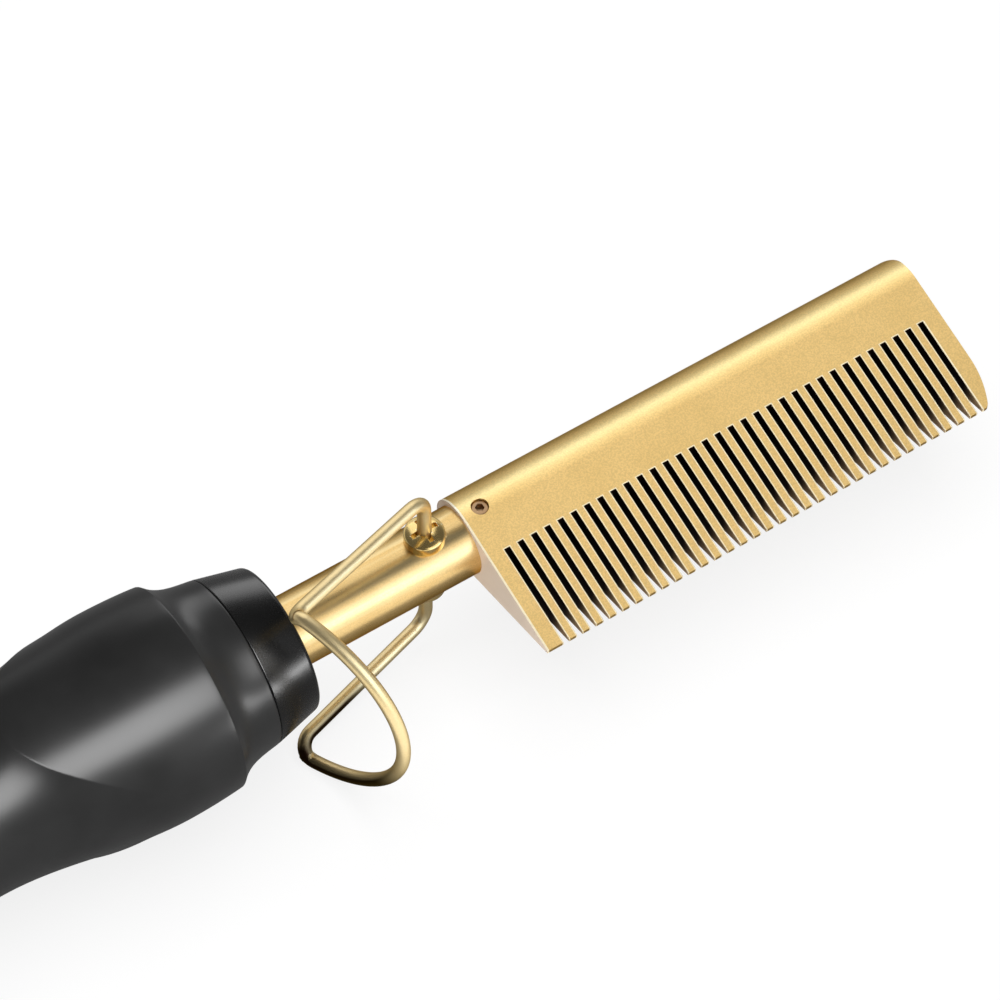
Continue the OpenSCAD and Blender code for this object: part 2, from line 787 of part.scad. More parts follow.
module back_cover() {
    color(black) placed() difference() {
        handle_body();
        box(tail_x - step_over, nose_x + step_over, -2 * bulge_r, 2 * bulge_r, -seam_drop, 2 * bulge_r);
        difference() {
            handle_cavity();
            cover_bosses(-bulge_r, -seam_drop + step_over);
        }
        for (p = cover_screw_places) translate([p.x, p.y, 0]) {
            mirror([0, 0, 1]) cylinder(r = cover_shank_r + close_fit, h = 2 * bulge_r, $fn = 32);
            translate([0, 0, -2 * bulge_r])
                cylinder(r = cover_head_r + 0.2, h = 2 * bulge_r + cover_seat_z, $fn = 32);
        }
    }
}

module cover_screws() {
    color(steel) placed() for (p = cover_screw_places) translate([p.x, p.y, cover_seat_z]) {
        difference() {
            union() {
                cylinder(r = cover_shank_r, h = cover_shank_len, $fn = 32);
                mirror([0, 0, 1]) cylinder(r = cover_head_r, h = cover_head_h, $fn = 32);
            }
            for (a = [0, 90]) rotate([0, 0, a]) translate([-1.4, -0.3, -cover_head_h - 1])
                cube([2.8, 0.6, 1.9]);
        }
    }
}

module tail_ring() {
    edge_r = 2.5;
    color(black) placed() turned(concat(
        [[tail_x, neck_pin_r + free_gap], [tail_x, tail_r]],
        arc([tail_x - tail_ring_len + edge_r, tail_r - 1.6 - edge_r], edge_r, 100, 180, 6),
        [[tail_x - tail_ring_len, neck_pin_r + free_gap]]
    ));
}

module swivel_core() {
    color(black) placed() difference() {
        union() {
            rod(swivel_flange_x + swivel_flange_t, spindle_x, spindle_r);
            rod(swivel_flange_x, swivel_flange_x + swivel_flange_t, swivel_flange_r);
            rod(gland_x, swivel_flange_x, neck_pin_r);
            rod(gland_x - stub_len, gland_x, spindle_r);
        }
        rod(gland_x - stub_len - step_over, spindle_x - spindle_end_t, cord_bore_r);
    }
}

module gland_cap() {
    edge_r = 1.5;
    mouth_r = 7;
    color(black) placed() difference() {
        turned(concat(
            [[gland_x, 0], [gland_x, neck_pin_r + 2.4]],
            arc([rear_x + edge_r, mouth_r - edge_r], edge_r, 110, 180, 5),
            [[rear_x, 0]]
        ));
        rod(gland_x - stub_len, gland_x + step_over, spindle_r + close_fit);
        rod(rear_x - step_over, gland_x, cord_bore_r);
    }
}

module slip_rings() {
    color(brass) placed() for (x = ring_places)
        tube(x - ring_w / 2, x + ring_w / 2, ring_r, spindle_r + close_fit);
}

// Block that lies on the seam inside the shell and carries the two contact leaves
module contact_block() {
    color(ceramic) placed() intersection() {
        box(contact_x - contact_len, contact_x, -bulge_r, bulge_r, contact_z, contact_z + contact_t);
        rod(contact_x - contact_len, contact_x, tail_radius(0.6) - wall - contact_gap);
    }
}

module contact_leaves() {
    leaf_z = -ring_r - slide_fit;
    color(brass) placed() for (i = [0, 1]) {
        side = i == 0 ? 1 : -1;
        translate([ring_places[i] + leaf_w / 2, 0, 0]) rotate([90, 0, -90]) linear_extrude(leaf_w)
            polygon([
                [side * 5, contact_z + contact_t], [side * 5, leaf_z], [-side * 3, leaf_z],
                [-side * 3, leaf_z - leaf_t], [side * (5 - leaf_t), leaf_z - leaf_t],
                [side * (5 - leaf_t), contact_z + contact_t]
            ]);
    }
}

// Leads that run under the rear block and turn up and back into its front
module mains_leads() {
    low_z = contact_z + contact_t / 2;
    end_x = board_rear_x + block_len;
    turn_x = end_x + mains_turn_len;
    color("#7a4a2a") placed() for (y = mains_poles)
        lead([[contact_x, y, low_z], [turn_x, y, low_z], [turn_x, y, lead_z], [end_x, y, lead_z]], lead_d);
}

module circuit_board() {
    color(board_green) placed() difference() {
        box(board_rear_x, board_x, -board_w / 2, board_w / 2, board_low_z, board_z);
        board_boss_places() cylinder(r = board_screw_r + 0.15, h = grip_r, $fn = 32);
    }
}

module board_screws() {
    color(steel) placed() board_boss_places() translate([0, 0, board_low_z]) difference() {
        union() {
            cylinder(r = board_screw_r, h = board_t + 2.8, $fn = 32);
            mirror([0, 0, 1]) cylinder(r = board_screw_head_r, h = board_screw_head_h, $fn = 32);
        }
        for (a = [0, 90]) rotate([0, 0, a])
            translate([-1.1, -0.25, -board_screw_head_h - step_over]) cube([2.2, 0.5, 0.7 + step_over]);
    }
}

// Block on the board's underside whose clamp screws are reached from below
module terminal_block(x0, width, poles, hole_r) {
    difference() {
        box(x0, x0 + block_len, -width / 2, width / 2, board_low_z - block_h, board_low_z);
        for (y = poles) translate([x0 + block_len / 2, y, board_low_z - block_h - step_over])
            cylinder(r = hole_r, h = 2 + step_over, $fn = 24);
    }
}

// Front block for the heater and the sensor, rear block for the mains
module terminal_blocks() {
    color("#3f7f56") placed() {
        terminal_block(block_x - block_len, block_w, block_poles, 1.1);
        terminal_block(board_rear_x, mains_block_w, mains_poles, 1.4);
    }
}

module triac() {
    x = block_x - block_len - 2;
    color("#222222") placed() difference() {
        union() {
            box(x - 9, x, -10, -5.6, board_low_z - 4.5, board_low_z);
            box(x - 14, x, -10, -9, board_low_z - 4.5, board_low_z);
        }
        translate([x - 11.6, -8, board_low_z - 2.2]) rotate([90, 0, 0]) cylinder(r = 1.1, h = 3, $fn = 24);
    }
}

module film_capacitor() {
    length = 13;
    width = 6;
    height = 9.5;
    x = board_rear_x + block_len + 2;
    color("#c9a227") placed() box(x, x + length, -width / 2, width / 2, board_low_z - height, board_low_z);
}

// Resistor that lies on its two bent leads under the board
module fusible_resistor() {
    body_len = 10;
    body_r = 1.8;
    body_gap = 0.4;
    wire_end_r = 0.3;
    wire_out = 0.8;
    x = block_x - block_len - 3;
    z = board_low_z - body_r - body_gap;
    color("#8a6f4a") placed() translate([0, 6.5, z]) {
        rod(x - body_len, x, body_r, 32);
        for (ends = [[x, x + wire_out], [x - body_len, x - body_len - wire_out]]) {
            rod(ends[0], ends[1], wire_end_r, 16);
            translate([ends[1], 0, -wire_end_r])
                cylinder(r = wire_end_r, h = board_low_z - z + wire_end_r, $fn = 16);
        }
    }
}

module controller_chip() {
    block_gap = 6;
    chip_len = 5;
    chip_w = 4;
    leg_pitch = 1.1;
    leg = [0.4, 1.2, 1];
    x = block_x - block_len - block_gap;
    color("#1c1c1c") placed() {
        box(x - chip_len, x, -chip_w / 2, chip_w / 2, board_low_z - 1.6, board_low_z - 0.2);
        for (i = [0 : 3], s = [-1, 1])
            translate([x - 0.8 - leg_pitch * i, s * (chip_w / 2 + 0.4), board_low_z - leg.z / 2])
                cube(leg, center = true);
    }
}

module touch_switches() {
    color("#30343a") placed() for (x = [power_x, down_x, up_x]) translate([x, 0, board_z]) {
        translate([-switch_w / 2, -switch_w / 2, 0]) cube([switch_w, switch_w, switch_h - switch_stem_h]);
        cylinder(r = switch_stem_r, h = switch_h, $fn = 32);
    }
}

module light_places() {
    for (i = [0 : light_count - 1]) translate([lights_x, (i - (light_count - 1) / 2) * light_pitch, 0])
        children();
}

module level_leds() {
    color("#f4f1dc") placed() light_places() translate([-0.8, -0.5, board_z]) cube([1.6, 1, 0.7]);
}

module light_guide() {
    base_w = (light_count - 1) * light_pitch + 2.2;
    color("#f5f5f0") placed() {
        box(lights_x - 1.4, lights_x + 1.4, -base_w / 2, base_w / 2, panel_z - 1.2, panel_z);
        light_places() translate([0, 0, board_z + 1]) cylinder(d = lens_d, h = flat_z - board_z - 1, $fn = 32);
    }
}

module control_panel() {
    color("#3a3a3c") placed() difference() {
        stadium(controls_x, panel_len, panel_w, panel_z, flat_z);
        for (x = [power_x, down_x, up_x]) translate([x, 0, 0])
            cylinder(r = button_r + button_fit, h = 2 * flat_z, $fn = 64);
        light_places() cylinder(d = lens_d + slide_fit, h = 2 * flat_z, $fn = 32);
    }
}

// Button with a flange under the panel and a stem over its switch
module push_button(x) {
    press_gap = 0.05;
    flange_z = panel_z - close_fit - button_flange_t;
    stem_z = board_z + switch_h + button_travel + press_gap;
    color("#4a4a4d") placed() translate([x, 0, 0]) difference() {
        union() {
            translate([0, 0, flange_z]) cylinder(r = button_flange_r, h = button_flange_t, $fn = 64);
            translate([0, 0, flange_z]) cylinder(r = button_r, h = flat_z + button_proud - flange_z, $fn = 64);
            translate([0, 0, stem_z]) cylinder(r = 1.5, h = flange_z - stem_z + 0.2, $fn = 32);
        }
        translate([0, 0, flat_z + button_proud + 12]) sphere(r = 12.25, $fn = 96);
    }
}

module power_button() push_button(power_x);

module heat_down_button() push_button(down_x);

module heat_up_button() push_button(up_x);

comb_head();
head_set_screw();
barrel_tube();
pivot_screws();
stand_wire();
heater_rod();
mica_sleeve();
heat_spreader();
temperature_sensor();
thermal_fuse();
heater_leads();
sensor_leads();
barrel_bush();
bush_set_screw();
barrel_circlip();
collar_ring();
handle_shell();
back_cover();
cover_screws();
tail_ring();
swivel_core();
gland_cap();
slip_rings();
contact_block();
contact_leaves();
mains_leads();
circuit_board();
board_screws();
terminal_blocks();
triac();
film_capacitor();
fusible_resistor();
controller_chip();
touch_switches();
level_leds();
light_guide();
control_panel();
power_button();
heat_down_button();
heat_up_button();
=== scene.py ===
"""Electric hot comb with a folding wire stand: detailed pieces, finishes, floor, lamps and camera.

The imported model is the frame. Sizes are in millimetres along the comb's own axes: X runs along the
barrel towards the comb's far end, the teeth point to -Y, and Z is up. The origin of these axes lies
on the barrel's axis at the comb's first slot. Profiles are half sections: station and radius where
they are turned about the barrel, radius and height where they are turned about an upright axis.
"""
import json
import logging
import math
from dataclasses import dataclass
from enum import Enum
from typing import Callable, Dict, List, Optional, Sequence, Tuple, Union

import bpy
from mathutils import Matrix, Vector


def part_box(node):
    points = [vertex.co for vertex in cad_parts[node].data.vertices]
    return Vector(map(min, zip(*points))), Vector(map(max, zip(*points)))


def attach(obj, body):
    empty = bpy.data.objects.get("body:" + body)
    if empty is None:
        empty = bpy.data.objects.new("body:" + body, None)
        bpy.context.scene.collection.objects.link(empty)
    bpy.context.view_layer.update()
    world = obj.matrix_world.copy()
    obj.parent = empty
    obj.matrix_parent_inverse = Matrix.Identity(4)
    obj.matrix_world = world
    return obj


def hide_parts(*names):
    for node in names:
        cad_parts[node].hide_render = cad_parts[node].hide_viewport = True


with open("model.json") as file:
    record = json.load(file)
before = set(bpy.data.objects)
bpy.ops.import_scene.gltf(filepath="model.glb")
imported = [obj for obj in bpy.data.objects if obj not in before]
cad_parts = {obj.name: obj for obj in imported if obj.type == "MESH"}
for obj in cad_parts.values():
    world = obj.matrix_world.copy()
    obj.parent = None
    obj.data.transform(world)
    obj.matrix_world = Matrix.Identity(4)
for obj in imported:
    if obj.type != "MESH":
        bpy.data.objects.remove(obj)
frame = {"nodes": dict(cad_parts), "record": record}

LOG = logging.getLogger("hot_comb")
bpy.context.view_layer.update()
MM = 0.001
AXIS = Vector((0.045725, 0.00652053, 0.0267137))
OUTSIDE = 40.0  # farther from the barrel's axis than any part of the handle

Pair = Tuple[float, float]
Triple = Tuple[float, float, float]
Colour = Triple


def at(x: float, y: float = 0.0, z: float = 0.0) -> Vector:
    """Place in the scene, in metres, of a point on the comb's own axes."""
    return AXIS + Vector((x, y, z)) * MM


def tone(red: int, green: int, blue: int) -> Colour:
    """Linear colour of a display colour with shares from 0 to 255."""
    shares = [c / 255 for c in (red, green, blue)]
    return tuple(c / 12.92 if c <= 0.04045 else ((c + 0.055) / 1.055) ** 2.4 for c in shares)


def ease(share: float) -> float:
    """Smooth step from 0 to 1 over a share from 0 to 1."""
    share = min(max(share, 0.0), 1.0)
    return share * share * (3 - 2 * share)


def turned_way(angle: float, along: float = 0.302) -> Triple:
    """Direction at an angle round the barrel, from the teeth's horizon over the top.

    Args:
        angle: The angle, in degrees.
        along: Share of the direction along the barrel.

    Returns:
        The direction.
    """
    across = math.sqrt(1 - along ** 2)
    turn = math.radians(angle)
    return along, -across * math.cos(turn), across * math.sin(turn)


def arc(centre: Pair, radius: float, first: float, last: float, steps: int = 12) -> List[Pair]:
    """Points of an arc, with both ends.

    Args:
        centre: Its centre.
        radius: Its radius.
        first: Angle of its first point, in degrees.
        last: Angle of its last point, in degrees.
        steps: Steps in the arc.

    Returns:
        The points.
    """
    turns = [math.radians(first + (last - first) * i / steps) for i in range(steps + 1)]
    return [(centre[0] + radius * math.cos(t), centre[1] + radius * math.sin(t)) for t in turns]


def rounded(corners: Sequence[Triple], closed: bool = False, steps: int = 5) -> List[Pair]:
    """Flat outline through the corners, each one rounded by its own radius.

    Args:
        corners: First place, second place and radius of each corner.
        closed: Whether the last corner joins the first, which is then repeated at the end.
        steps: Steps in each rounded corner.

    Returns:
        The outline's points.
    """
    most = 0.49  # share of a side that one rounded corner may use up
    count = len(corners)
    outline: List[Pair] = []
    for index, (across, up, radius) in enumerate(corners):
        here = Vector((across, up))
        if radius <= 0 or (not closed and index in (0, count - 1)):
            outline.append((across, up))
            continue
        back = Vector(corners[index - 1][:2]) - here
        ahead = Vector(corners[(index + 1) % count][:2]) - here
        half = back.angle(ahead) / 2
        reach = min(radius / math.tan(half), most * back.length, most * ahead.length)
        start = here + back.normalized() * reach
        end = here + ahead.normalized() * reach
        middle = (back.normalized() + ahead.normalized()).normalized()
        centre = here + middle * reach / math.cos(half)
        arm_start, arm_end = start - centre, end - centre
        turn = arm_start.angle(arm_end)
        for step in range(steps + 1):
            share = step / steps
            arm = (arm_start * math.sin((1 - share) * turn)
                   + arm_end * math.sin(share * turn)) / math.sin(turn)
            outline.append(tuple(centre + arm))
    if closed:
        outline.append(outline[0])
    return outline


class Cut(Enum):
    """What a cutter does to a piece."""

    AWAY = "DIFFERENCE"
    COMMON = "INTERSECT"
    JOIN = "UNION"


class Lit(Enum):
    """Groups of pieces that have soft boxes of their own."""

    COMB = "comb"
    METAL = "metal"
    PLASTIC = "plastic"
    STAGE = "stage"

    def pieces(self) -> bpy.types.Collection:
        """The collection of the group's pieces."""
        found = bpy.data.collections.get(self.value)
        return found or bpy.data.collections.new(self.value)


@dataclass(frozen=True)
class Piece:
    """One piece on the modelling bench, worked with Blender's own operators."""

    it: bpy.types.Object

    @staticmethod
    def clear() -> None:
        """Leaves edit mode and deselects every object."""
        if bpy.context.object and bpy.context.object.mode != "OBJECT":
            bpy.ops.object.mode_set(mode="OBJECT")
        bpy.ops.object.select_all(action="DESELECT")

    @classmethod
    def settled(cls, name: str) -> "Piece":
        """Takes up the active object as a piece, with its place moved into its mesh.

        Args:
            name: The piece's name.

        Returns:
            The piece.
        """
        piece = cls(bpy.context.object)
        piece.pick()
        bpy.ops.object.transform_apply(location=True, rotation=True, scale=True)
        piece.it.name = piece.it.data.name = name
        return piece

    @classmethod
    def drawn(cls, name: str, points: Sequence[Vector]) -> "Piece":
        """Draws a line of edges by extruding one vertex, and leaves it in edit mode, all selected.

        Args:
            name: The piece's name.
            points: Places in metres.

        Returns:
            The piece.
        """
        cls.clear()
        bpy.ops.mesh.primitive_plane_add(size=MM)
        piece = cls.settled(name)
        bpy.ops.object.mode_set(mode="EDIT")
        bpy.ops.mesh.select_mode(type="VERT")
        bpy.ops.mesh.select_all(action="SELECT")
        bpy.ops.mesh.merge(type="CENTER")
        bpy.ops.transform.translate(value=points[0])
        for here, there in zip(points, points[1:]):
            bpy.ops.mesh.extrude_region_move(TRANSFORM_OT_translate={"value": there - here})
        bpy.ops.mesh.select_all(action="SELECT")
        return piece

    @classmethod
    def spun(cls, name: str, points: Sequence[Vector], centre: Vector, axis: Triple,
             steps: int) -> "Piece":
        """Turns a line a full turn about an axis, as on a lathe.

        Args:
            name: The piece's name.
            points: Places of the line's points, in metres.
            centre: A place on the axis, in metres.
            axis: The axis.
            steps: Steps in the full turn.

        Returns:
            The closed piece.
        """
        piece = cls.drawn(name, points)
        bpy.ops.mesh.spin(steps=steps, angle=math.tau, center=centre, axis=axis)
        return piece.close()

    @classmethod
    def turned(cls, name: str, profile: Sequence[Pair], steps: int = 96) -> "Piece":
        """Turns a profile about the barrel's axis."""
        return cls.spun(name, [at(x, 0, r) for x, r in profile], at(0), (1, 0, 0), steps)

    @classmethod
    def turned_upright(cls, name: str, profile: Sequence[Pair], centre: Pair,
                       steps: int = 64) -> "Piece":
        """Turns a profile about an upright axis through a centre."""
        x, y = centre
        return cls.spun(name, [at(x + r, y, z) for r, z in profile], at(x, y), (0, 0, 1), steps)

    @classmethod
    def prism(cls, name: str, outline: Sequence[Vector], along: Vector) -> "Piece":
        """Fills a closed outline and extrudes it.

        Args:
            name: The piece's name.
            outline: Places in metres, without the first one repeated.
            along: Way and length of the extrusion, in metres.

        Returns:
            The closed piece.
        """
        piece = cls.drawn(name, list(outline))
        bpy.ops.mesh.edge_face_add()
        bpy.ops.mesh.select_all(action="SELECT")
        bpy.ops.mesh.extrude_region_move(TRANSFORM_OT_translate={"value": along})
        return piece.close()

    @classmethod
    def block(cls, name: str, low: Sequence[float], high: Sequence[float]) -> "Piece":
        """Straight block between two corners on the comb's own axes, as a cutter.

        Args:
            name: The piece's name.
            low: Lowest corner.
            high: Highest corner.

        Returns:
            The block.
        """
        corners = [at(x, y, low[2]) for x, y in (
            (low[0], low[1]), (high[0], low[1]), (high[0], high[1]), (low[0], high[1]))]
        return cls.prism(name, corners, Vector((0, 0, high[2] - low[2])) * MM)

    @classmethod
    def stadium(cls, name: str, x: float, length: float, width: float, low: float,
                high: float) -> "Piece":
        """Upright plate with two round ends.

        Args:
            name: The piece's name.
            x: Station of its middle.
            length: Whole length.
            width: Whole width.
            low: Height of its underside.
            high: Height of its top.

        Returns:
            The plate.
        """
        half, reach = width / 2, length / 2 - width / 2
        outline = []
        for end, first in ((reach, -90), (-reach, 90)):
            for step in range(25):
                angle = math.radians(first + 7.5 * step)
                outline.append(at(x + end + half * math.cos(angle), half * math.sin(angle), low))
        return cls.prism(name, outline, Vector((0, 0, high - low)) * MM)

    @classmethod
    def post(cls, name: str, x: float, y: float, radius: float, low: float, high: float,
             sides: int = 48) -> "Piece":
        """Upright round post, as a start or a cutter.

        Args:
            name: The piece's name.
            x: Station of its axis.
            y: Distance of its axis across.
            radius: Its radius.
            low: Height of its foot.
            high: Height of its top.
            sides: Number of sides.

        Returns:
            The post.
        """
        cls.clear()
        bpy.ops.mesh.primitive_cylinder_add(
            vertices=sides, radius=radius * MM, depth=(high - low) * MM,
            location=at(x, y, (low + high) / 2))
        return cls.settled(name)

    def pick(self) -> None:
        """Makes this the only selected object, and the active one."""
        self.clear()
        self.it.select_set(True)
        bpy.context.view_layer.objects.active = self.it

    def edit(self, mode: str = "VERT") -> None:
        """Opens the mesh with nothing selected.

        Args:
            mode: Kind of element that can be selected.
        """
        self.pick()
        bpy.ops.object.mode_set(mode="EDIT")
        bpy.ops.mesh.select_mode(type=mode)
        bpy.ops.mesh.select_all(action="DESELECT")

    def edit_faces(self, wanted: Callable[[bpy.types.MeshPolygon], bool]) -> None:
        """Opens the mesh with only the wanted faces selected.

        Args:
            wanted: Test of a face.
        """
        self.edit("FACE")
        bpy.ops.object.mode_set(mode="OBJECT")
        for face in self.it.data.polygons:
            face.select = wanted(face)
        bpy.ops.object.mode_set(mode="EDIT")

    def leave(self) -> None:
        """Deselects all and leaves edit mode."""
        bpy.ops.mesh.select_all(action="DESELECT")
        bpy.ops.object.mode_set(mode="OBJECT")

    def close(self) -> "Piece":
        """Merges doubles, turns the faces outwards and closes the mesh.

        Returns:
            The piece itself.
        """
        bpy.ops.mesh.select_all(action="SELECT")
        bpy.ops.mesh.remove_doubles(threshold=1e-6)
        bpy.ops.mesh.normals_make_consistent(inside=False)
        self.leave()
        return self

    def modify(self, kind: str, **settings: object) -> None:
        """Adds a modifier, sets it and applies it.

        Args:
            kind: Type of the modifier.
            settings: Its settings.
        """
        self.pick()
        modifier = self.it.modifiers.new(kind.title(), kind)
        for key, value in settings.items():
            setattr(modifier, key, value)
        bpy.ops.object.modifier_apply(modifier=modifier.name)

    def combine(self, cutter: "Piece", cut: Cut = Cut.AWAY) -> None:
        """Cuts or joins the piece with another one, which is used up."""
        self.modify("BOOLEAN", operation=cut.value, object=cutter.it, solver="EXACT")
        bpy.data.objects.remove(cutter.it)

    def soften(self, width: float, angle: float = 30, segments: int = 2) -> None:
        """Rounds the sharp edges by a bevel.

        Args:
            width: Width of the bevel, in millimetres.
            angle: Least angle of an edge that is rounded, in degrees.
            segments: Steps in the bevel.
        """
        self.modify("BEVEL", width=width * MM, segments=segments, limit_method="ANGLE",
                    angle_limit=math.radians(angle), miter_outer="MITER_ARC",
                    use_clamp_overlap=True)

    def smooth(self, angle: float = 30, weighted: bool = False) -> None:
        """Shades the piece smoothly up to an angle.

        Args:
            angle: Angle over which an edge stays sharp, in degrees.
            weighted: Whether large faces keep their flat look beside narrow bevels.
        """
        self.pick()
        bpy.ops.object.shade_smooth_by_angle(angle=math.radians(angle))
        if weighted:
            self.modify("WEIGHTED_NORMAL", mode="FACE_AREA", weight=50, keep_sharp=True)

    def flatten(self, area: float) -> None:
        """Makes the faces over an area in square millimetres exactly plane, and shades them flat.

        Args:
            area: The area.
        """
        self.edit_faces(lambda face: face.area > area * MM ** 2)
        bpy.ops.mesh.face_make_planar(factor=1, repeat=8)
        bpy.ops.mesh.faces_shade_flat()
        self.leave()

    def copy(self, name: str) -> "Piece":
        """Copies the piece with a mesh of its own.

        Args:
            name: The copy's name.

        Returns:
            The copy.
        """
        self.pick()
        bpy.ops.object.duplicate()
        return self.settled(name)

    def below(self, name: str) -> "Piece":
        """Copies the piece and mirrors the copy to the other side of the barrel's axis.

        Args:
            name: The copy's name.

        Returns:
            The mirrored copy.
        """
        twin = self.copy(name)
        twin.edit()
        bpy.ops.mesh.select_all(action="SELECT")
        bpy.ops.transform.mirror(constraint_axis=(False, False, True), center_override=at(0))
        return twin.close()

    def install(self, body: str, slot: str, *nodes: str, finish: Optional[str] = None) -> None:
        """Puts the finished piece on its body in place of the plain nodes.

        Args:
            body: Name of the body that it moves with.
            slot: Name of its material slot.
            nodes: Names of the plain nodes that it stands for.
            finish: Name of its finish, where the slot has more than one.
        """
        PAINT.dress(self.it, finish or slot)
        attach(self.it, body)
        if nodes:
            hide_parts(*nodes)
        LOG.info("%s: %d faces on %s, finish %s", self.it.name, len(self.it.data.polygons), body,
                 slot)


Number = Union["Flow", float]


@dataclass(frozen=True, eq=False)
class Flow:
    """A socket of a finish, on which Python's operators add Math nodes."""

    graph: "Graph"
    socket: bpy.types.NodeSocket

    def _math(self, operation: str, first: Number, second: Number) -> "Flow":
        """Math node of two numbers."""
        return self.graph.node("ShaderNodeMath", {"operation": operation}, {0: first, 1: second})

    def __add__(self, other: Number) -> "Flow":
        """Sum."""
        return self._math("ADD", self, other)

    def __radd__(self, other: Number) -> "Flow":
        """Sum with a plain number first."""
        return self._math("ADD", other, self)

    def __sub__(self, other: Number) -> "Flow":
        """Difference."""
        return self._math("SUBTRACT", self, other)

    def __rsub__(self, other: Number) -> "Flow":
        """Difference from a plain number."""
        return self._math("SUBTRACT", other, self)

    def __mul__(self, other: Number) -> "Flow":
        """Product."""
        return self._math("MULTIPLY", self, other)

    def nearest(self, pitch: float) -> "Flow":
        """Distance to the nearest whole multiple of a pitch."""
        return self._math("PINGPONG", self, pitch / 2)

    def magnitude(self) -> "Flow":
        """Value without its sign."""
        return self._math("ABSOLUTE", self, 0.0)

    def over(self, edge: float, width: float) -> "Flow":
        """Soft step that rises from 0 to 1 where this value passes an edge.

        Args:
            edge: Value in the middle of the step.
            width: Width of the step.

        Returns:
            The step.
        """
        return self.graph.node(
            "ShaderNodeMapRange", {"interpolation_type": "SMOOTHSTEP"},
            {"Value": self, "From Min": edge - width / 2, "From Max": edge + width / 2})


class Graph:
    """The node tree of one finish, or of the room."""

    SOCKETS = {"base": "Base Color", "roughness": "Roughness", "metallic": "Metallic", "ior": "IOR",
               "normal": "Normal", "specular": "Specular IOR Level", "tint": "Specular Tint",
               "transmission": "Transmission Weight"}

    def __init__(self, name: str, room: Optional[bpy.types.World] = None) -> None:
        """Starts an empty tree.

        Args:
            name: The material's name.
            room: The world, where the tree is the room's.
        """
        self.material = room or bpy.data.materials.new(name)
        self.material.use_nodes = True
        self.tree = self.material.node_tree
        self.tree.nodes.clear()

    def _fill(self, socket: bpy.types.NodeSocket, value: object) -> None:
        """Sets an input socket to a value, or links it.

        Args:
            socket: The socket.
            value: Its value, or the output that is linked to it.
        """
        if isinstance(value, Flow):
            self.tree.links.new(value.socket, socket)
        elif socket.type == "RGBA":
            socket.default_value = (*value, 1)
        else:
            socket.default_value = value

    def node(self, kind: str, settings: Optional[Dict[str, object]] = None,
             inputs: Optional[Dict[Union[str, int], object]] = None,
             output: Union[str, int] = 0) -> Flow:
        """Adds a node of any type.

        Args:
            kind: The node's type.
            settings: Its settings.
            inputs: Value or link of each socket, by name or number.
            output: Name or number of the socket that is given back.

        Returns:
            The output socket.
        """
        made = self.tree.nodes.new(kind)
        for key, value in (settings or {}).items():
            setattr(made, key, value)
        for key, value in (inputs or {}).items():
            self._fill(made.inputs[key], value)
        return Flow(self, made.outputs[output])

    def place(self, scale: Sequence[float] = (1, 1, 1),
              centre: Sequence[float] = (0, 0, 0)) -> Flow:
        """Object coordinates, centred and scaled.

        Args:
            scale: Scale along each axis.
            centre: Place in metres that becomes the origin.

        Returns:
            The coordinates.
        """
        coordinates = self.node("ShaderNodeTexCoord", output="Object")
        moved = self.node("ShaderNodeVectorMath", {"operation": "SUBTRACT"},
                          {0: coordinates, 1: tuple(centre)})
        return self.node("ShaderNodeVectorMath", {"operation": "MULTIPLY"},
                         {0: moved, 1: tuple(scale)})

    def rays(self, *kinds: str) -> Flow:
        """Mask of some kinds of rays.

        Args:
            kinds: Names of the Light Path node's outputs.

        Returns:
            The mask.
        """
        path = self.node("ShaderNodeLightPath").socket.node
        masks = [Flow(self, path.outputs[kind]) for kind in kinds]
        return sum(masks[1:], masks[0])

    def share(self, vector: Flow, axis: str) -> Flow:
        """One of a vector's three shares, by its letter."""
        return self.node("ShaderNodeSeparateXYZ", {}, {0: vector}, axis)

    def noise(self, size: float, detail: float = 2, roughness: float = 0.5,
              stretch: Sequence[float] = (1, 1, 1)) -> Flow:
        """Noise on Object coordinates, from 0 to 1.

        Args:
            size: Size of its grains, in millimetres.
            detail: Number of finer layers.
            roughness: Weight of the finer layers.
            stretch: Scale along each axis.

        Returns:
            The noise.
        """
        return self.node("ShaderNodeTexNoise", {"noise_dimensions": "3D"},
                         {"Vector": self.place(stretch), "Scale": 1 / (size * MM),
                          "Detail": detail, "Roughness": roughness})

    def edges(self) -> Flow:
        """Mask of the worn, convex edges."""
        return self.node("ShaderNodeNewGeometry", output="Pointiness").over(0.58, 0.08)

    def mix(self, share: Number, first: Union[Flow, Colour], second: Union[Flow, Colour]) -> Flow:
        """Mix of two colours.

        Args:
            share: Share of the second colour.
            first: First colour.
            second: Second colour.

        Returns:
            The mixed colour.
        """
        return self.node("ShaderNodeMix", {"data_type": "RGBA"}, {0: share, 6: first, 7: second}, 2)

    def bump(self, height: Flow, depth: float) -> Flow:
        """Normal with a bump from a height of 0 to 1, where 1 is a depth in millimetres."""
        return self.node("ShaderNodeBump", {},
                         {"Strength": 1.0, "Distance": depth * MM, "Height": height})

    def surface(self, **sockets: object) -> bpy.types.Material:
        """Ends the finish in a Principled shader.

        Args:
            sockets: Value or link of each of the shader's sockets, by the short names of SOCKETS.

        Returns:
            The material.
        """
        self.end(self.node("ShaderNodeBsdfPrincipled", {},
                           {self.SOCKETS[key]: value for key, value in sockets.items()}))
        return self.material

    def end(self, shader: Flow, kind: str = "ShaderNodeOutputMaterial") -> None:
        """Links a shader to the tree's output."""
        self.tree.links.new(shader.socket, self.tree.nodes.new(kind).inputs["Surface"])


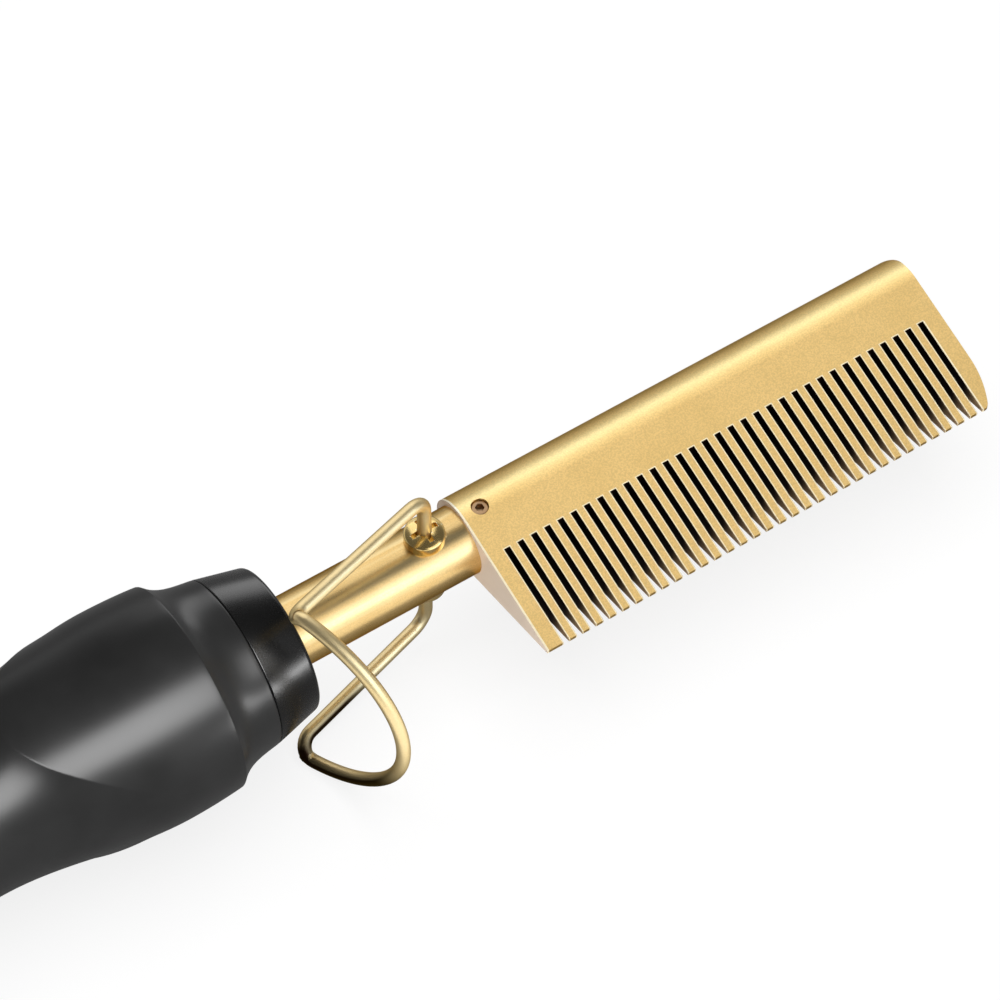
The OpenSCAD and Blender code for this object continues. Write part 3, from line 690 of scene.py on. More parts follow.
@dataclass(frozen=True)
class GrainedMetal:
    """Blasted or drawn metal: cloudy tone, fine grain and lighter worn edges."""

    name: str
    light: Colour
    dark: Colour
    edge: Colour
    roughness: float
    spread: float = 0.06
    grain: float = 0.12
    grain_depth: float = 0.004
    stretch: Triple = (1, 1, 1)
    speck: float = 0.12
    rim: Colour = (1.0, 1.0, 1.0)
    lit: Lit = Lit.METAL
    cloud: float = 9
    hollow: float = 0.62
    wear: float = 0.6

    def skin(self, graph: Graph) -> Tuple[Flow, Flow, Flow]:
        """Plain metal without its worn edges.

        Args:
            graph: The finish's tree.

        Returns:
            Colour, roughness and normal.
        """
        cloud = graph.noise(self.cloud, 3)
        grain = graph.noise(self.grain, 2, 0.6, self.stretch)
        hollow = tuple(self.hollow * share for share in self.dark)
        base = graph.mix(cloud.over(0.5, 0.5), self.dark, self.light)
        base = graph.mix(grain.over(0.5, 0.3) * self.speck, base, hollow)
        roughness = self.roughness + (cloud - 0.5) * self.spread + (grain - 0.5) * self.spread
        return base, roughness, graph.bump(grain, self.grain_depth)

    def make(self) -> bpy.types.Material:
        """Builds the material.

        Returns:
            It.
        """
        graph = Graph(self.name)
        base, roughness, normal = self.skin(graph)
        base = graph.mix(graph.edges() * self.wear, base, self.edge)
        return graph.surface(base=base, metallic=1.0, roughness=roughness, normal=normal,
                             tint=self.rim)


@dataclass(frozen=True)
class UndersideShadedMetal(GrainedMetal):
    """Wire with painted shade on the underside of its low stretch, darker where it faces down and
    out.
    """

    # colour of the painted shade on the wire's underside
    painted_shade: Colour = tone(40, 24, 14)
    under: Triple = (-0.453, -0.703, -0.548)
    under_from: float = -0.1
    under_fade: float = 0.7
    from_z: float = -10.0
    from_x: float = -30.0
    fade: float = 12.0

    def make(self) -> bpy.types.Material:
        """Builds the material.

        Returns:
            It.
        """
        graph = Graph(self.name)
        base, roughness, normal = self.skin(graph)
        place = graph.place(centre=AXIS)
        low = (1 - graph.share(place, "Z").over(self.from_z * MM, self.fade * MM)) \
            * (1 - graph.share(place, "X").over(self.from_x * MM, self.fade * MM))
        facing = graph.node(
            "ShaderNodeVectorMath", {"operation": "DOT_PRODUCT"},
            {0: graph.node("ShaderNodeNewGeometry", output="Normal"), 1: self.under}, "Value")
        # painted shade: the base darkens where the wire is low and faces the under way
        base = graph.mix(low * facing.over(self.under_from, self.under_fade), base, self.painted_shade)
        return graph.surface(base=base, metallic=1.0, roughness=roughness, normal=normal,
                             tint=self.rim)


@dataclass(frozen=True)
class SawnMetal(GrainedMetal):
    """Blasted metal with a row of slots: painted shade on the slot walls, a painted highlight along
    the cut edges and rims, and a painted pale near end face.
    """

    lit: Lit = Lit.COMB
    pitch: float = 3.0
    slot_w: float = 1.25
    slot_top: float = 9.4
    last_slot: float = 96.0
    near: float = -4.25
    edge_w: float = 0.24
    near_edge_w: float = 0.42
    last_edge_w: float = 0.34
    fade_at: float = 25.5
    fade_w: float = 4.5
    matt: float = 0.15
    # painted shade on the slot walls: dark deep in the slot, with its lighter end near the tips
    slot_shade: Colour = tone(26, 9, 7)
    slot_tip_shade: Colour = tone(184, 160, 130)
    # painted pale tone of the near end face, standing in for the light that falls on it
    painted_end_face: Colour = tone(242, 224, 206)
    # painted highlight along the cut edges of the slots, the near rim and the last slot's edge
    cut: Colour = tone(250, 236, 200)

    def inside(self, x: Flow, y: Flow, margin: float) -> Flow:
        """Mask of the slots.

        Args:
            x: Distance along the barrel, in metres.
            y: Distance across, in metres.
            margin: Width in millimetres by which each slot is widened.

        Returns:
            The mask.
        """
        soft = 0.03 * MM
        across = 1 - x.nearest(self.pitch * MM).over((self.slot_w / 2 + margin) * MM, soft)
        below = 1 - y.over((margin - self.slot_top) * MM, soft)
        half = self.last_slot / 2
        row = 1 - (x - half * MM).magnitude().over((half + self.slot_w) * MM, soft)
        return across * below * row

    def make(self) -> bpy.types.Material:
        """Builds the material.

        Returns:
            It.
        """
        graph = Graph(self.name)
        base, roughness, normal = self.skin(graph)
        place = graph.place(centre=AXIS)
        x, y = graph.share(place, "X"), graph.share(place, "Y")
        walls = self.inside(x, y, 0.02)
        edges = self.inside(x, y, self.edge_w) - walls
        depth = 1 - y.over(-self.fade_at * MM, self.fade_w * MM)
        face = 1 - x.over((self.near + 0.05) * MM, 0.04 * MM)
        rim = 1 - x.over((self.near + self.near_edge_w) * MM, 0.1 * MM) - face
        last = self.last_slot + self.slot_w / 2
        last_edge = x.over((last + 0.02) * MM, 0.03 * MM) \
            * (1 - x.over((last + self.last_edge_w) * MM, 0.06 * MM)) \
            * (1 - y.over(-self.slot_top * MM, 0.05 * MM))
        rim = rim + last_edge
        # painted highlights: bright bands along the slot edges, the near rim and the last slot's
        # edge
        base = graph.mix(edges * 0.9, base, self.cut)
        base = graph.mix(rim, base, self.cut)
        # near end face painted pale for the light on it
        base = graph.mix(face, base, self.painted_end_face)
        # painted shade over the slot walls, darkest deep in the slot and lighter towards the tips
        base = graph.mix(walls, base, graph.mix(depth, self.slot_shade, self.slot_tip_shade))
        # the painted highlights, the painted end face and the painted slot shade are less metallic
        metallic = 1 - walls * 0.5 - edges * 0.65 - rim * 0.7 - face * 0.7
        return graph.surface(base=base, metallic=metallic, roughness=roughness + walls * self.matt,
                             normal=normal, tint=self.rim)


@dataclass(frozen=True)
class Moulded:
    """Moulded plastic, resin or ceramic: slight mottle, fine skin texture and polished edges."""

    name: str
    light: Colour
    dark: Colour
    roughness: float
    grain: float = 0.25
    grain_depth: float = 0.004
    specular: float = 0.5
    ior: float = 1.5
    edge_gloss: float = 0.06
    cloud: float = 14
    cloud_spread: float = 0.05
    grain_spread: float = 0.04
    lit: Lit = Lit.PLASTIC

    def make(self) -> bpy.types.Material:
        """Builds the material.

        Returns:
            It.
        """
        graph = Graph(self.name)
        cloud = graph.noise(self.cloud, 3)
        grain = graph.noise(self.grain, 2, 0.6)
        base = graph.mix(cloud.over(0.5, 0.4), self.dark, self.light)
        roughness = self.roughness + (cloud - 0.5) * self.cloud_spread \
            + (grain - 0.5) * self.grain_spread - graph.edges() * self.edge_gloss
        return graph.surface(base=base, roughness=roughness, ior=self.ior, specular=self.specular,
                             normal=graph.bump(grain, self.grain_depth))


@dataclass(frozen=True)
class Layered:
    """Sheet or sleeve with fine lines round or along it, such as mica, laminate or sleeving."""

    name: str
    light: Colour
    dark: Colour
    roughness: float
    pitch: float
    stretch: Triple
    metallic: float = 0.0
    spread: float = 0.15
    line_depth: float = 0.02
    cloud: float = 5
    lit: Lit = Lit.PLASTIC

    def make(self) -> bpy.types.Material:
        """Builds the material.

        Returns:
            It.
        """
        graph = Graph(self.name)
        lines = graph.noise(self.pitch, 3, 0.6, self.stretch)
        base = graph.mix(lines.over(0.5, 0.3), self.dark, self.light)
        base = graph.mix(graph.noise(self.cloud, 2) * 0.2, base, self.dark)
        return graph.surface(base=base, metallic=self.metallic,
                             roughness=self.roughness + (lines - 0.5) * self.spread,
                             normal=graph.bump(lines, self.line_depth))


@dataclass(frozen=True)
class ClearResin:
    """Clear or tinted resin with faint clouding."""

    name: str
    tint: Colour
    haze: Colour
    transmission: float
    roughness: float = 0.08
    ior: float = 1.49
    cloud: float = 3
    ripple: float = 0.4
    ripple_depth: float = 0.002
    lit: Lit = Lit.PLASTIC

    def make(self) -> bpy.types.Material:
        """Builds the material.

        Returns:
            It.
        """
        graph = Graph(self.name)
        cloud = graph.noise(self.cloud, 3)
        return graph.surface(base=graph.mix(cloud.over(0.5, 0.4), self.tint, self.haze),
                             roughness=self.roughness + cloud * self.roughness, ior=self.ior,
                             transmission=self.transmission,
                             normal=graph.bump(graph.noise(self.ripple), self.ripple_depth))


Finish = Union[GrainedMetal, Moulded, Layered, ClearResin]

FINISHES: Dict[str, Finish] = {finish.name: finish for finish in (
    SawnMetal("comb_gold", tone(240, 204, 134), tone(232, 196, 126), tone(252, 232, 178), 0.42,
              grain=0.34, grain_depth=0.012, speck=0.36, rim=tone(186, 152, 108)),
    GrainedMetal("satin_gold", tone(238, 202, 136), tone(228, 190, 122), tone(252, 232, 178), 0.29,
                 grain=0.3, grain_depth=0.01, speck=0.34, rim=tone(190, 150, 100)),
    # stand wire, with painted shade on the underside of its low stretch
    UndersideShadedMetal("wire_gold", tone(252, 230, 178), tone(246, 220, 162), tone(254, 242, 204), 0.43,
                 0.05, 0.3, 0.004, rim=tone(250, 232, 190)),
    GrainedMetal("plated_gold", tone(250, 220, 150), tone(240, 206, 132), tone(255, 244, 204), 0.19,
                 0.04, 0.3, 0.002),
    Moulded("black_plastic", tone(27, 27, 27), tone(22, 22, 22), 0.31, 0.3, 0.002, 0.27),
    Moulded("collar_plastic", tone(5, 5, 5), tone(4, 4, 4), 0.27, 0.3, 0.002, 0.4),
    GrainedMetal("steel", tone(196, 198, 201), tone(160, 163, 168), tone(235, 236, 238), 0.3),
    GrainedMetal("browned_steel", tone(204, 174, 138), tone(164, 130, 96), tone(236, 214, 178),
                 0.3),
    GrainedMetal("alloy", tone(216, 218, 220), tone(186, 188, 192), tone(240, 240, 242), 0.36,
                 stretch=(0.1, 1, 1)),
    Moulded("ceramic", tone(238, 232, 218), tone(222, 214, 196), 0.55, 0.2, 0.01),
    Layered("mica", tone(190, 160, 120), tone(138, 108, 74), 0.4, 0.4, (0.1, 1, 1), 0.2),
    GrainedMetal("brass", tone(214, 182, 104), tone(188, 150, 76), tone(240, 220, 160), 0.28,
                 stretch=(1, 0.15, 1)),
    Moulded("block_plastic", tone(236, 230, 214), tone(224, 216, 198), 0.5),
    Layered("white_lead", tone(236, 232, 224), tone(206, 200, 188), 0.6, 0.3, (1, 1, 1)),
    Layered("brown_lead", tone(120, 76, 48), tone(92, 56, 34), 0.45, 0.4, (1, 1, 1)),
    Layered("board", tone(38, 104, 56), tone(28, 86, 46), 0.35, 0.5, (1, 0.2, 1)),
    Moulded("green_plastic", tone(70, 142, 94), tone(56, 122, 80), 0.42),
    Moulded("black_resin", tone(38, 38, 40), tone(28, 28, 30), 0.5, 0.12, 0.01),
    Moulded("yellow_film", tone(206, 164, 52), tone(186, 146, 42), 0.3),
    Moulded("brown_lacquer", tone(146, 112, 78), tone(120, 90, 60), 0.3),
    ClearResin("led_resin", tone(250, 248, 226), tone(236, 232, 200), 0.4),
    ClearResin("clear_plastic", tone(250, 250, 250), tone(228, 232, 236), 0.75),
    Moulded("panel_plastic", tone(46, 46, 48), tone(38, 38, 40), 0.46, 0.16, 0.012),
    Moulded("button_plastic", tone(74, 74, 77), tone(64, 64, 67), 0.42, 0.16, 0.01),
)}


class Paint:
    """Finishes each piece, making every material once."""

    def __init__(self) -> None:
        """Starts with no material made."""
        self._made: Dict[str, bpy.types.Material] = {}

    def dress(self, piece: bpy.types.Object, name: str) -> None:
        """Gives a piece a finish, and puts it in its group for the lamps.

        Args:
            piece: The piece.
            name: Name of the finish.
        """
        finish = FINISHES[name]
        if name not in self._made:
            self._made[name] = finish.make()
        if not piece.material_slots:
            piece.data.materials.append(self._made[name])
        for own in piece.material_slots:
            own.material = self._made[name]
        finish.lit.pieces().objects.link(piece)


PAINT = Paint()


@dataclass
class CombHead:
    """Wedge shaped comb with a round spine, sawn slots and its set screw."""

    near: float = -4.25
    far: float = 100.6
    slots: int = 33
    pitch: float = 3.0
    slot_w: float = 1.25
    slot_top: float = 9.4
    reach: float = 29.9
    spine_r: float = 8.04
    spine_offset: float = 0.5
    spine_steps: int = 64
    tip_t: float = 0.8
    end_curve_r: float = 20.0
    end_curve_len: float = 9.9
    tip_corner: float = 1.2
    spine_corner: float = 5.0
    bore_r: float = 6.25
    bore_far: float = 11.15
    heater_bore_r: float = 5.0
    heater_far: float = 89.45
    edge: float = 0.16
    screw_r: float = 1.7
    screw_gap: float = 0.05
    screw_low: float = 5.4
    screw_high: float = 7.49
    key_r: float = 0.9

    def section(self) -> List[Vector]:
        """Section of the wedge at its near end.

        Returns:
            Its corners.
        """
        corner = Vector((self.reach + self.spine_offset, self.tip_t / 2))
        flank = math.degrees(math.asin(self.spine_r / corner.length)
                             - math.atan2(corner.y, corner.x))
        points = []
        for step in range(self.spine_steps + 1):
            angle = math.radians(90 - flank + (180 + 2 * flank) * step / self.spine_steps)
            points.append(at(self.near, self.spine_offset - self.spine_r * math.cos(angle),
                             self.spine_r * math.sin(angle)))
        return points + [at(self.near, -self.reach, z) for z in (-self.tip_t / 2, self.tip_t / 2)]

    def outline(self) -> List[Vector]:
        """Side outline with the end tooth's curved edge and the rounded end of the spine.

        Returns:
            Its corners, beside the comb.
        """
        top, bottom, deep = self.spine_r + self.spine_offset, -self.reach, -2 * self.spine_r
        down = self.end_curve_len - self.tip_corner
        out = math.sqrt((self.end_curve_r - self.tip_corner) ** 2 - down ** 2)
        turn = math.degrees(math.atan2(down, out))
        curve = (self.far - self.end_curve_r, bottom + self.end_curve_len)
        corner = (curve[0] + out, curve[1] - down)
        flat = [(self.near - 1, top + 1), (self.near - 1, bottom - 1), (corner[0], bottom - 1)]
        flat += arc(corner, self.tip_corner, -90, -turn, 6)
        flat += arc(curve, self.end_curve_r, -turn, 0)[1:]
        flat += arc((self.far - self.spine_corner, top - self.spine_corner), self.spine_corner,
                    0, 90)
        flat += [(self.far - self.spine_corner, top + 1)]
        return [at(x, y, deep) for x, y in flat]

    def build(self) -> None:
        """Builds the comb and its screw."""
        comb = Piece.prism("comb_wedge", self.section(), Vector((self.far - self.near, 0, 0)) * MM)
        high = Vector((0, 0, 4 * self.spine_r)) * MM
        comb.combine(Piece.prism("outline", self.outline(), high), Cut.COMMON)
        saw = Piece.block("saw", (-self.slot_w / 2, -self.reach - 1, -self.spine_r),
                          (self.slot_w / 2, -self.slot_top, self.spine_r))
        saw.modify("ARRAY", count=self.slots, use_relative_offset=False, use_constant_offset=True,
                   constant_offset_displace=(self.pitch * MM, 0, 0))
        comb.combine(saw)
        comb.combine(Piece.turned("bore", [
            (self.near - 1, 0), (self.near - 1, self.bore_r), (self.bore_far, self.bore_r),
            (self.bore_far, self.heater_bore_r), (self.heater_far, self.heater_bore_r),
            (self.heater_far, 0)], 64))
        comb.combine(Piece.post("hole", 0, 0, self.screw_r + self.screw_gap, 0, 2 * self.spine_r))
        comb.soften(self.edge)
        comb.smooth(32, weighted=True)
        comb.install("main", "satin_gold", "comb_head", finish="comb_gold")
        self.build_screw()

    def build_screw(self) -> None:
        """Builds the set screw with its hexagonal socket."""
        low, high = self.screw_low, self.screw_high
        screw = Piece.turned_upright("comb_screw", rounded([
            (0, low, 0), (self.screw_r, low, 0.2), (self.screw_r, high, 0.25), (0, high, 0)]),
            (0, 0), 48)
        screw.combine(Piece.post("key", 0, 0, self.key_r, high - 1, high + 1, 6))
        screw.soften(0.06, 40)
        screw.smooth(35, weighted=True)
        screw.install("main", "steel", "head_set_screw", finish="browned_steel")


@dataclass
class PivotScrews:
    """Two hollow screws with domed heads, in which the stand's ends turn."""

    x: float = -12.4
    seat: float = 6.95
    head_r: float = 4.0
    head_h: float = 3.4
    dome_h: float = 1.1
    dome_steps: int = 10
    shank_r: float = 2.4
    shank_len: float = 3.8
    hole_r: float = 1.45
    hole_depth: float = 3.4
    recess_w: float = 1.0
    recess_len: float = 5.6
    recess_depth: float = 1.4

    def profile(self) -> List[Pair]:
        """Half section.

        Returns:
            Its points.
        """
        ball = (self.head_r ** 2 + self.dome_h ** 2) / (2 * self.dome_h)
        foot, top = self.seat - self.shank_len, self.seat + self.head_h
        rim = self.head_r - 0.25
        dome = [(r, top - ball + math.sqrt(ball ** 2 - r ** 2)) for r in (
            rim - (rim - self.hole_r) * i / self.dome_steps for i in range(self.dome_steps + 1))]
        body = rounded([
            (0, foot, 0), (self.shank_r, foot, 0.3), (self.shank_r, self.seat, 0),
            (self.head_r, self.seat, 0.2), (self.head_r, top - self.dome_h, 0.5),
            dome[1] + (0,)])[:-1]
        floor = top - self.hole_depth
        return body + dome + [(self.hole_r, floor), (0, floor)]

    def build(self) -> None:
        """Builds both screws."""
        top = self.seat + self.head_h
        screw = Piece.turned_upright("pivot_screw_upper", self.profile(), (self.x, 0), 96)
        for long, wide in ((self.recess_len, self.recess_w), (self.recess_w, self.recess_len)):
            screw.combine(Piece.block(
                "recess", (self.x - long / 2, -wide / 2, top - self.recess_depth),
                (self.x + long / 2, wide / 2, top + 1)))
        screw.soften(0.07, 35)
        screw.smooth(35, weighted=True)
        lower = screw.below("pivot_screw_lower")
        lower.smooth(35, weighted=True)
        screw.install("main", "plated_gold", "pivot_screws")
        lower.install("main", "plated_gold", "pivot_screws")


@dataclass
class StandWire:
    """Bent wire stand: two arms and a bow, drawn round its bends as the wire is bent."""

    wire_r: float = 1.37
    pin_end: float = 7.15
    pivot_x: float = -12.4
    arm_out: float = 21.1
    arm_len: float = 36.5
    arm_angle: float = 15.7
    bow_angle: float = 21.7
    bow_root_out: float = 22.5
    bow_out: float = 25.5
    bow_wide_at: float = 2.5
    bow_end_out: float = 21.7
    bow_len: float = 25.2
    pivot_bend: float = 4.0
    root_bend: float = 3.4
    corner_bend: float = 2.3
    sides: int = 32
    step_len: float = 1.1
    least_steps: int = 8

    def route(self) -> Tuple[List[Vector], List[float]]:
        """Route of the wire's middle.

        Returns:
            Its corners, and the bend radius at each inner one.
        """
        arm, bow = math.radians(self.arm_angle), math.radians(self.bow_angle)
        root = Vector((self.pivot_x - self.arm_len * math.cos(arm), -self.arm_len * math.sin(arm),
                       self.bow_root_out))
        way = Vector((math.sin(bow), -math.cos(bow), 0))
        wide = Vector((root.x, root.y, self.bow_out)) + self.bow_wide_at * way
        end = Vector((root.x, root.y, self.bow_end_out)) + self.bow_len * way
        apex = Vector((end.x, end.y, 0))
        turn_wide = (wide - root).angle(end - wide)
        turn_end = (end - wide).angle(apex - end)
        straight = (end - wide).length - self.corner_bend * math.tan(turn_wide / 2)
        reach = min(self.bow_end_out, straight) - 0.05
        half = [Vector((self.pivot_x, 0, self.pin_end)), Vector((self.pivot_x, 0, self.arm_out)),
                root, wide, end]
        bends = [self.pivot_bend, self.root_bend, self.corner_bend, reach / math.tan(turn_end / 2)]
        return half + [Vector((p.x, p.y, -p.z)) for p in reversed(half)], bends + bends[::-1]

    def build(self) -> None:
        """Extrudes a round start along the straight stretches and spins it round the bends."""
        corners, bends = self.route()
        Piece.clear()
        bpy.ops.mesh.primitive_circle_add(vertices=self.sides, radius=self.wire_r * MM,
                                          fill_type="NGON", location=at(*corners[0]))
        wire = Piece.settled("stand_bow")
        bpy.ops.object.mode_set(mode="EDIT")
        bpy.ops.mesh.select_mode(type="EDGE")
        bpy.ops.mesh.select_all(action="SELECT")
        here = corners[0]
        for back, corner, ahead, bend in zip(corners, corners[1:], corners[2:], bends):
            before, after = (corner - back).normalized(), (ahead - corner).normalized()
            turn = before.angle(after)
            start = corner - before * bend * math.tan(turn / 2)
            centre = corner + (after - before).normalized() * bend / math.cos(turn / 2)
            bpy.ops.mesh.extrude_region_move(TRANSFORM_OT_translate={"value": (start - here) * MM})
            bpy.ops.mesh.spin(steps=max(self.least_steps, round(turn * bend / self.step_len)),
                              angle=-turn, center=at(*centre), axis=before.cross(after))
            here = corner + after * bend * math.tan(turn / 2)
        last = (corners[-1] - here) * MM
        bpy.ops.mesh.extrude_region_move(TRANSFORM_OT_translate={"value": last})
        wire.close()
        wire.smooth(50)
        wire.install("stand", "plated_gold", "stand_wire", finish="wire_gold")


@dataclass
class Collar:
    """Tapered ring in front of the handle."""

    front: float = -44.65
    seam: float = -54.65
    front_r: float = 14.9
    seam_r: float = 17.3
    edge_r: float = 1.2
    bore_r: float = 7.5
    spigot_r: float = 13.2
    wall: float = 2.2
    groove: float = 0.22
    seam_gap: float = 0.02

    def build(self) -> None:
        """Turns the ring with its rounded rim and the groove at its seam."""
        back, inside = self.seam + self.seam_gap, self.front - self.wall
        ring = Piece.turned("nose_collar", rounded([
            (self.front, self.bore_r, 0.3), (self.front, self.front_r, self.edge_r),
            (back, self.seam_r, self.groove), (back, self.spigot_r, 0.1),
            (inside, self.spigot_r, 0.2), (inside, self.bore_r, 0.2)], closed=True, steps=8), 160)
        ring.smooth(40)
        ring.install("main", "black_plastic", "collar_ring", finish="collar_plastic")


@dataclass
class CoverScrews:
    """Four pan head screws with cross slots, which hold the cover."""

    places: Tuple[Pair, ...] = ((-80.05, 13), (-80.05, -13), (-150.05, 10), (-150.05, -10))
    seat: float = -12.5
    head_r: float = 2.3
    head_h: float = 1.6
    shank_r: float = 1.3
    shank_len: float = 10.0
    slot_len: float = 2.8
    slot_w: float = 0.6
    slot_depth: float = 0.7

    def build(self) -> None:
        """Turns each screw and cuts its cross."""
        low, high = self.seat - self.head_h, self.seat + self.shank_len
        profile = rounded([
            (0, high, 0), (self.shank_r, high, 0.35), (self.shank_r, self.seat, 0.1),
            (self.head_r, self.seat, 0.15), (self.head_r, low + 0.5, 0.45), (1.5, low + 0.06, 0.8),
            (0, low, 0)])
        for index, (x, y) in enumerate(self.places, start=1):
            screw = Piece.turned_upright(f"cover_screw_{index}", profile, (x, y), 48)
            for long, wide in ((self.slot_len, self.slot_w), (self.slot_w, self.slot_len)):
                screw.combine(Piece.block(
                    "slot", (x - long / 2, y - wide / 2, low - 1),
                    (x + long / 2, y + wide / 2, low + self.slot_depth)))
            screw.soften(0.04, 40)
            screw.smooth(35)
            screw.install("main", "steel", "cover_screws")


@dataclass
class Handle:
    """Handle of two shells with neck, bulge, a raised tongue on each side and a flat."""

    nose: float = -51.75
    nose_r: float = 13.1
    seam: float = -54.65
    seam_r: float = 17.3
    front: float = -64.65
    front_r: float = 21.1
    front_edge: float = 0.9
    crown: float = -76.05
    crown_r: float = 21.64
    waist: float = -113.05
    grip_r: float = 17.3
    grip_end: float = -163.05
    tail: float = -178.05
    tail_r: float = 14.8
    rear_bore: float = 6.2
    wall: float = 2.2
    tongue_x: float = -68.05
    tongue_len: float = 35.2
    tongue_half_w: float = 22.5
    tongue_slope: float = 0.062
    tongue_soft: float = 0.04
    blend: float = 6.0
    warp_from: float = -66.0
    warp_mid: float = -90.0
    warp_to: float = -140.0
    cover_seam: float = -9.5
    flat_z: float = 15.5
    flat_size: Pair = (56, 18)
    pocket_z: float = 11.0
    pocket_size: Pair = (50.3, 12.3)
    controls: float = -140.05
    screws: Tuple[Pair, ...] = CoverScrews.places
    screw_seat: float = CoverScrews.seat
    boss_r: float = 3.2
    boss_gap: float = 0.6
    well_r: float = 2.5
    hole_r: float = 1.4
    steps: int = 256

    def plain_radius(self, x: float) -> float:
        """Radius of the handle without its tongues, behind the bulge's front edge.

        Args:
            x: Station.

        Returns:
            The radius.
        """
        if x > self.crown:
            share = (self.crown - x) / (self.crown - self.front)
            return self.crown_r - (self.crown_r - self.front_r) * share ** 2
        if x > self.waist:
            share = ease((self.crown - x) / (self.crown - self.waist))
            return self.crown_r + (self.grip_r - self.crown_r) * share
        share = max(self.grip_end - x, 0) / (self.grip_end - self.tail)
        return self.grip_r - (self.grip_r - self.tail_r) * share ** 2

    def tongue_radius(self, x: float) -> float:
        """Radius of a tongue's surface."""
        return self.crown_r - self.tongue_slope * max(self.crown - x, 0)

    def tongue_edge(self, angle: float) -> float:
        """Station of a tongue's edge at an angle from straight up."""
        share = min(abs(self.crown_r * math.sin(angle)) / self.tongue_half_w, 1)
        return self.tongue_x - self.tongue_len * math.sqrt(1 - share ** 2)

    def warped(self, x: float, edge: float) -> float:
        """Station of a ring after its shift, which lays one ring on the tongue's edge.

        Args:
            x: Station before the shift.
            edge: Station of the tongue's edge.

        Returns:
            The station.
        """
        if self.warp_to < x <= self.warp_mid:
            share = (self.warp_mid - x) / (self.warp_mid - self.warp_to)
            return edge + (self.warp_to - edge) * share
        if self.warp_mid < x < self.warp_from:
            share = (self.warp_from - x) / (self.warp_from - self.warp_mid)
            return self.warp_from + (edge - self.warp_from) * share
        return x

    def shaped_radius(self, x: float, edge: float) -> float:
        """Radius with the tongue, at a station on a line along the handle.

        Args:
            x: Station.
            edge: Station of the tongue's edge on that line.

        Returns:
            The radius.
        """
        plain, tongue = self.plain_radius(x), self.tongue_radius(x)
        if x < edge - 1e-6:
            step = max(self.tongue_radius(edge) - self.plain_radius(edge), 0)
            return plain + step * math.exp((x - edge) / self.blend)
        if x >= self.crown:
            return plain
        soft = self.tongue_soft * ease((self.crown - 1 - x) / 5)
        return 0.5 * (plain + tongue + math.hypot(plain - tongue, soft))

    def rings(self) -> List[float]:
        """Stations of the rings between the bulge's front and the tail, close at the tongues' edge.

        Returns:
            The stations.
        """
        first, tight = self.front - self.front_edge, 0.3
        front = [first - (self.front - self.warp_from - self.front_edge) * i / 2 for i in range(2)]
        ahead = [self.warp_from + (self.warp_mid - self.warp_from) * i / 26 for i in range(26)]
        edge = [self.warp_mid + tight, self.warp_mid, self.warp_mid - tight]
        behind = [self.warp_mid + (self.warp_to - self.warp_mid) * (i / 44) ** 1.4
                  for i in range(2, 45)]
        grip = [self.warp_to + (self.grip_end - self.warp_to) * i / 6 for i in range(1, 7)]
        taper = [self.grip_end + (self.tail - self.grip_end) * i / 10 for i in range(1, 11)]
        return front + ahead + edge + behind + grip + taper

    def neck_radius(self, x: float) -> float:
        """Radius of the neck, which flares towards the bulge."""
        share = self.seam - x
        return self.seam_r + 0.14 * share + 2.4 * (share / 10) ** 4

    def profile(self) -> List[Pair]:
        """Half section of the outside, from the nose to the rear bore.

        Returns:
            Its points.
        """
        edge = self.front - self.front_edge
        neck = [(self.seam - s, self.neck_radius(self.seam - s), 0)
                for s in (1, 2.5, 4, 5.5, 6.6, 7.6, 8.4, 9)]
        nose = rounded([
            (self.nose, 11, 0), (self.nose, self.nose_r, 0.3), (self.seam, self.nose_r, 0),
            (self.seam, self.seam_r, 0.4), *neck, (self.front, self.front_r - 0.02, 0.5),
            (edge, self.plain_radius(edge), 0)], steps=6)[:-1]
        body = [(x, self.plain_radius(x)) for x in self.rings()]
        body[-1] = (self.tail, self.tail_r)
        return nose + body + [(self.tail, self.rear_bore)]

    def skin(self) -> Piece:
        """Turns the whole outside and raises the tongues.

        Returns:
            The skin.
        """
        skin = Piece.turned("handle_skin", self.profile(), self.steps)
        for vertex in skin.it.data.vertices:
            x, y, z = (vertex.co - AXIS) / MM
            radius = math.hypot(y, z)
            if x > self.warp_from + 1e-6 or x < self.grip_end:
                continue
            edge = self.tongue_edge(math.atan2(y, z))
            place = self.warped(x, edge)
            wanted = self.shaped_radius(place, edge)
            vertex.co = at(place, y * wanted / radius, z * wanted / radius)
        return skin

    def parted(self, skin: Piece, name: str, upper: bool) -> Piece:
        """Cuts one shell out of the skin along the cover's seam and gives it its wall.

        Args:
            skin: The whole skin.
            name: The shell's name.
            upper: Whether the shell above the seam is kept.

        Returns:
            The shell.
        """
        shell = skin.copy(name)
        shell.edit()
        bpy.ops.mesh.select_all(action="SELECT")
        bpy.ops.mesh.bisect(plane_co=at(0, 0, self.cover_seam), plane_no=(0, 0, 1),
                            clear_inner=upper, clear_outer=not upper, use_fill=False)
        bpy.ops.object.mode_set(mode="OBJECT")
        shell.modify("SOLIDIFY", thickness=self.wall * MM, offset=-1, use_even_offset=False)
        return shell

    def add_bosses(self, cover: Piece) -> None:
        """Adds the screws' bosses inside the cover, and sinks the wells and the shanks' holes.

        Args:
            cover: The cover.
        """
        start = self.front - 2
        core = [(start, 0.0)] + [(x, self.plain_radius(x) - self.boss_gap)
                                 for x in range(round(start), round(self.tail), -4)]
        core.append((core[-1][0], 0.0))
        for x, y in self.screws:
            boss = Piece.post("boss", x, y, self.boss_r, -OUTSIDE, self.cover_seam, 64)
            boss.combine(Piece.turned("core", core, 128), Cut.COMMON)
            cover.combine(boss, Cut.JOIN)
            cover.combine(Piece.post("well", x, y, self.well_r, -OUTSIDE, self.screw_seat, 64))
            cover.combine(Piece.post("hole", x, y, self.hole_r, -OUTSIDE, 0, 32))

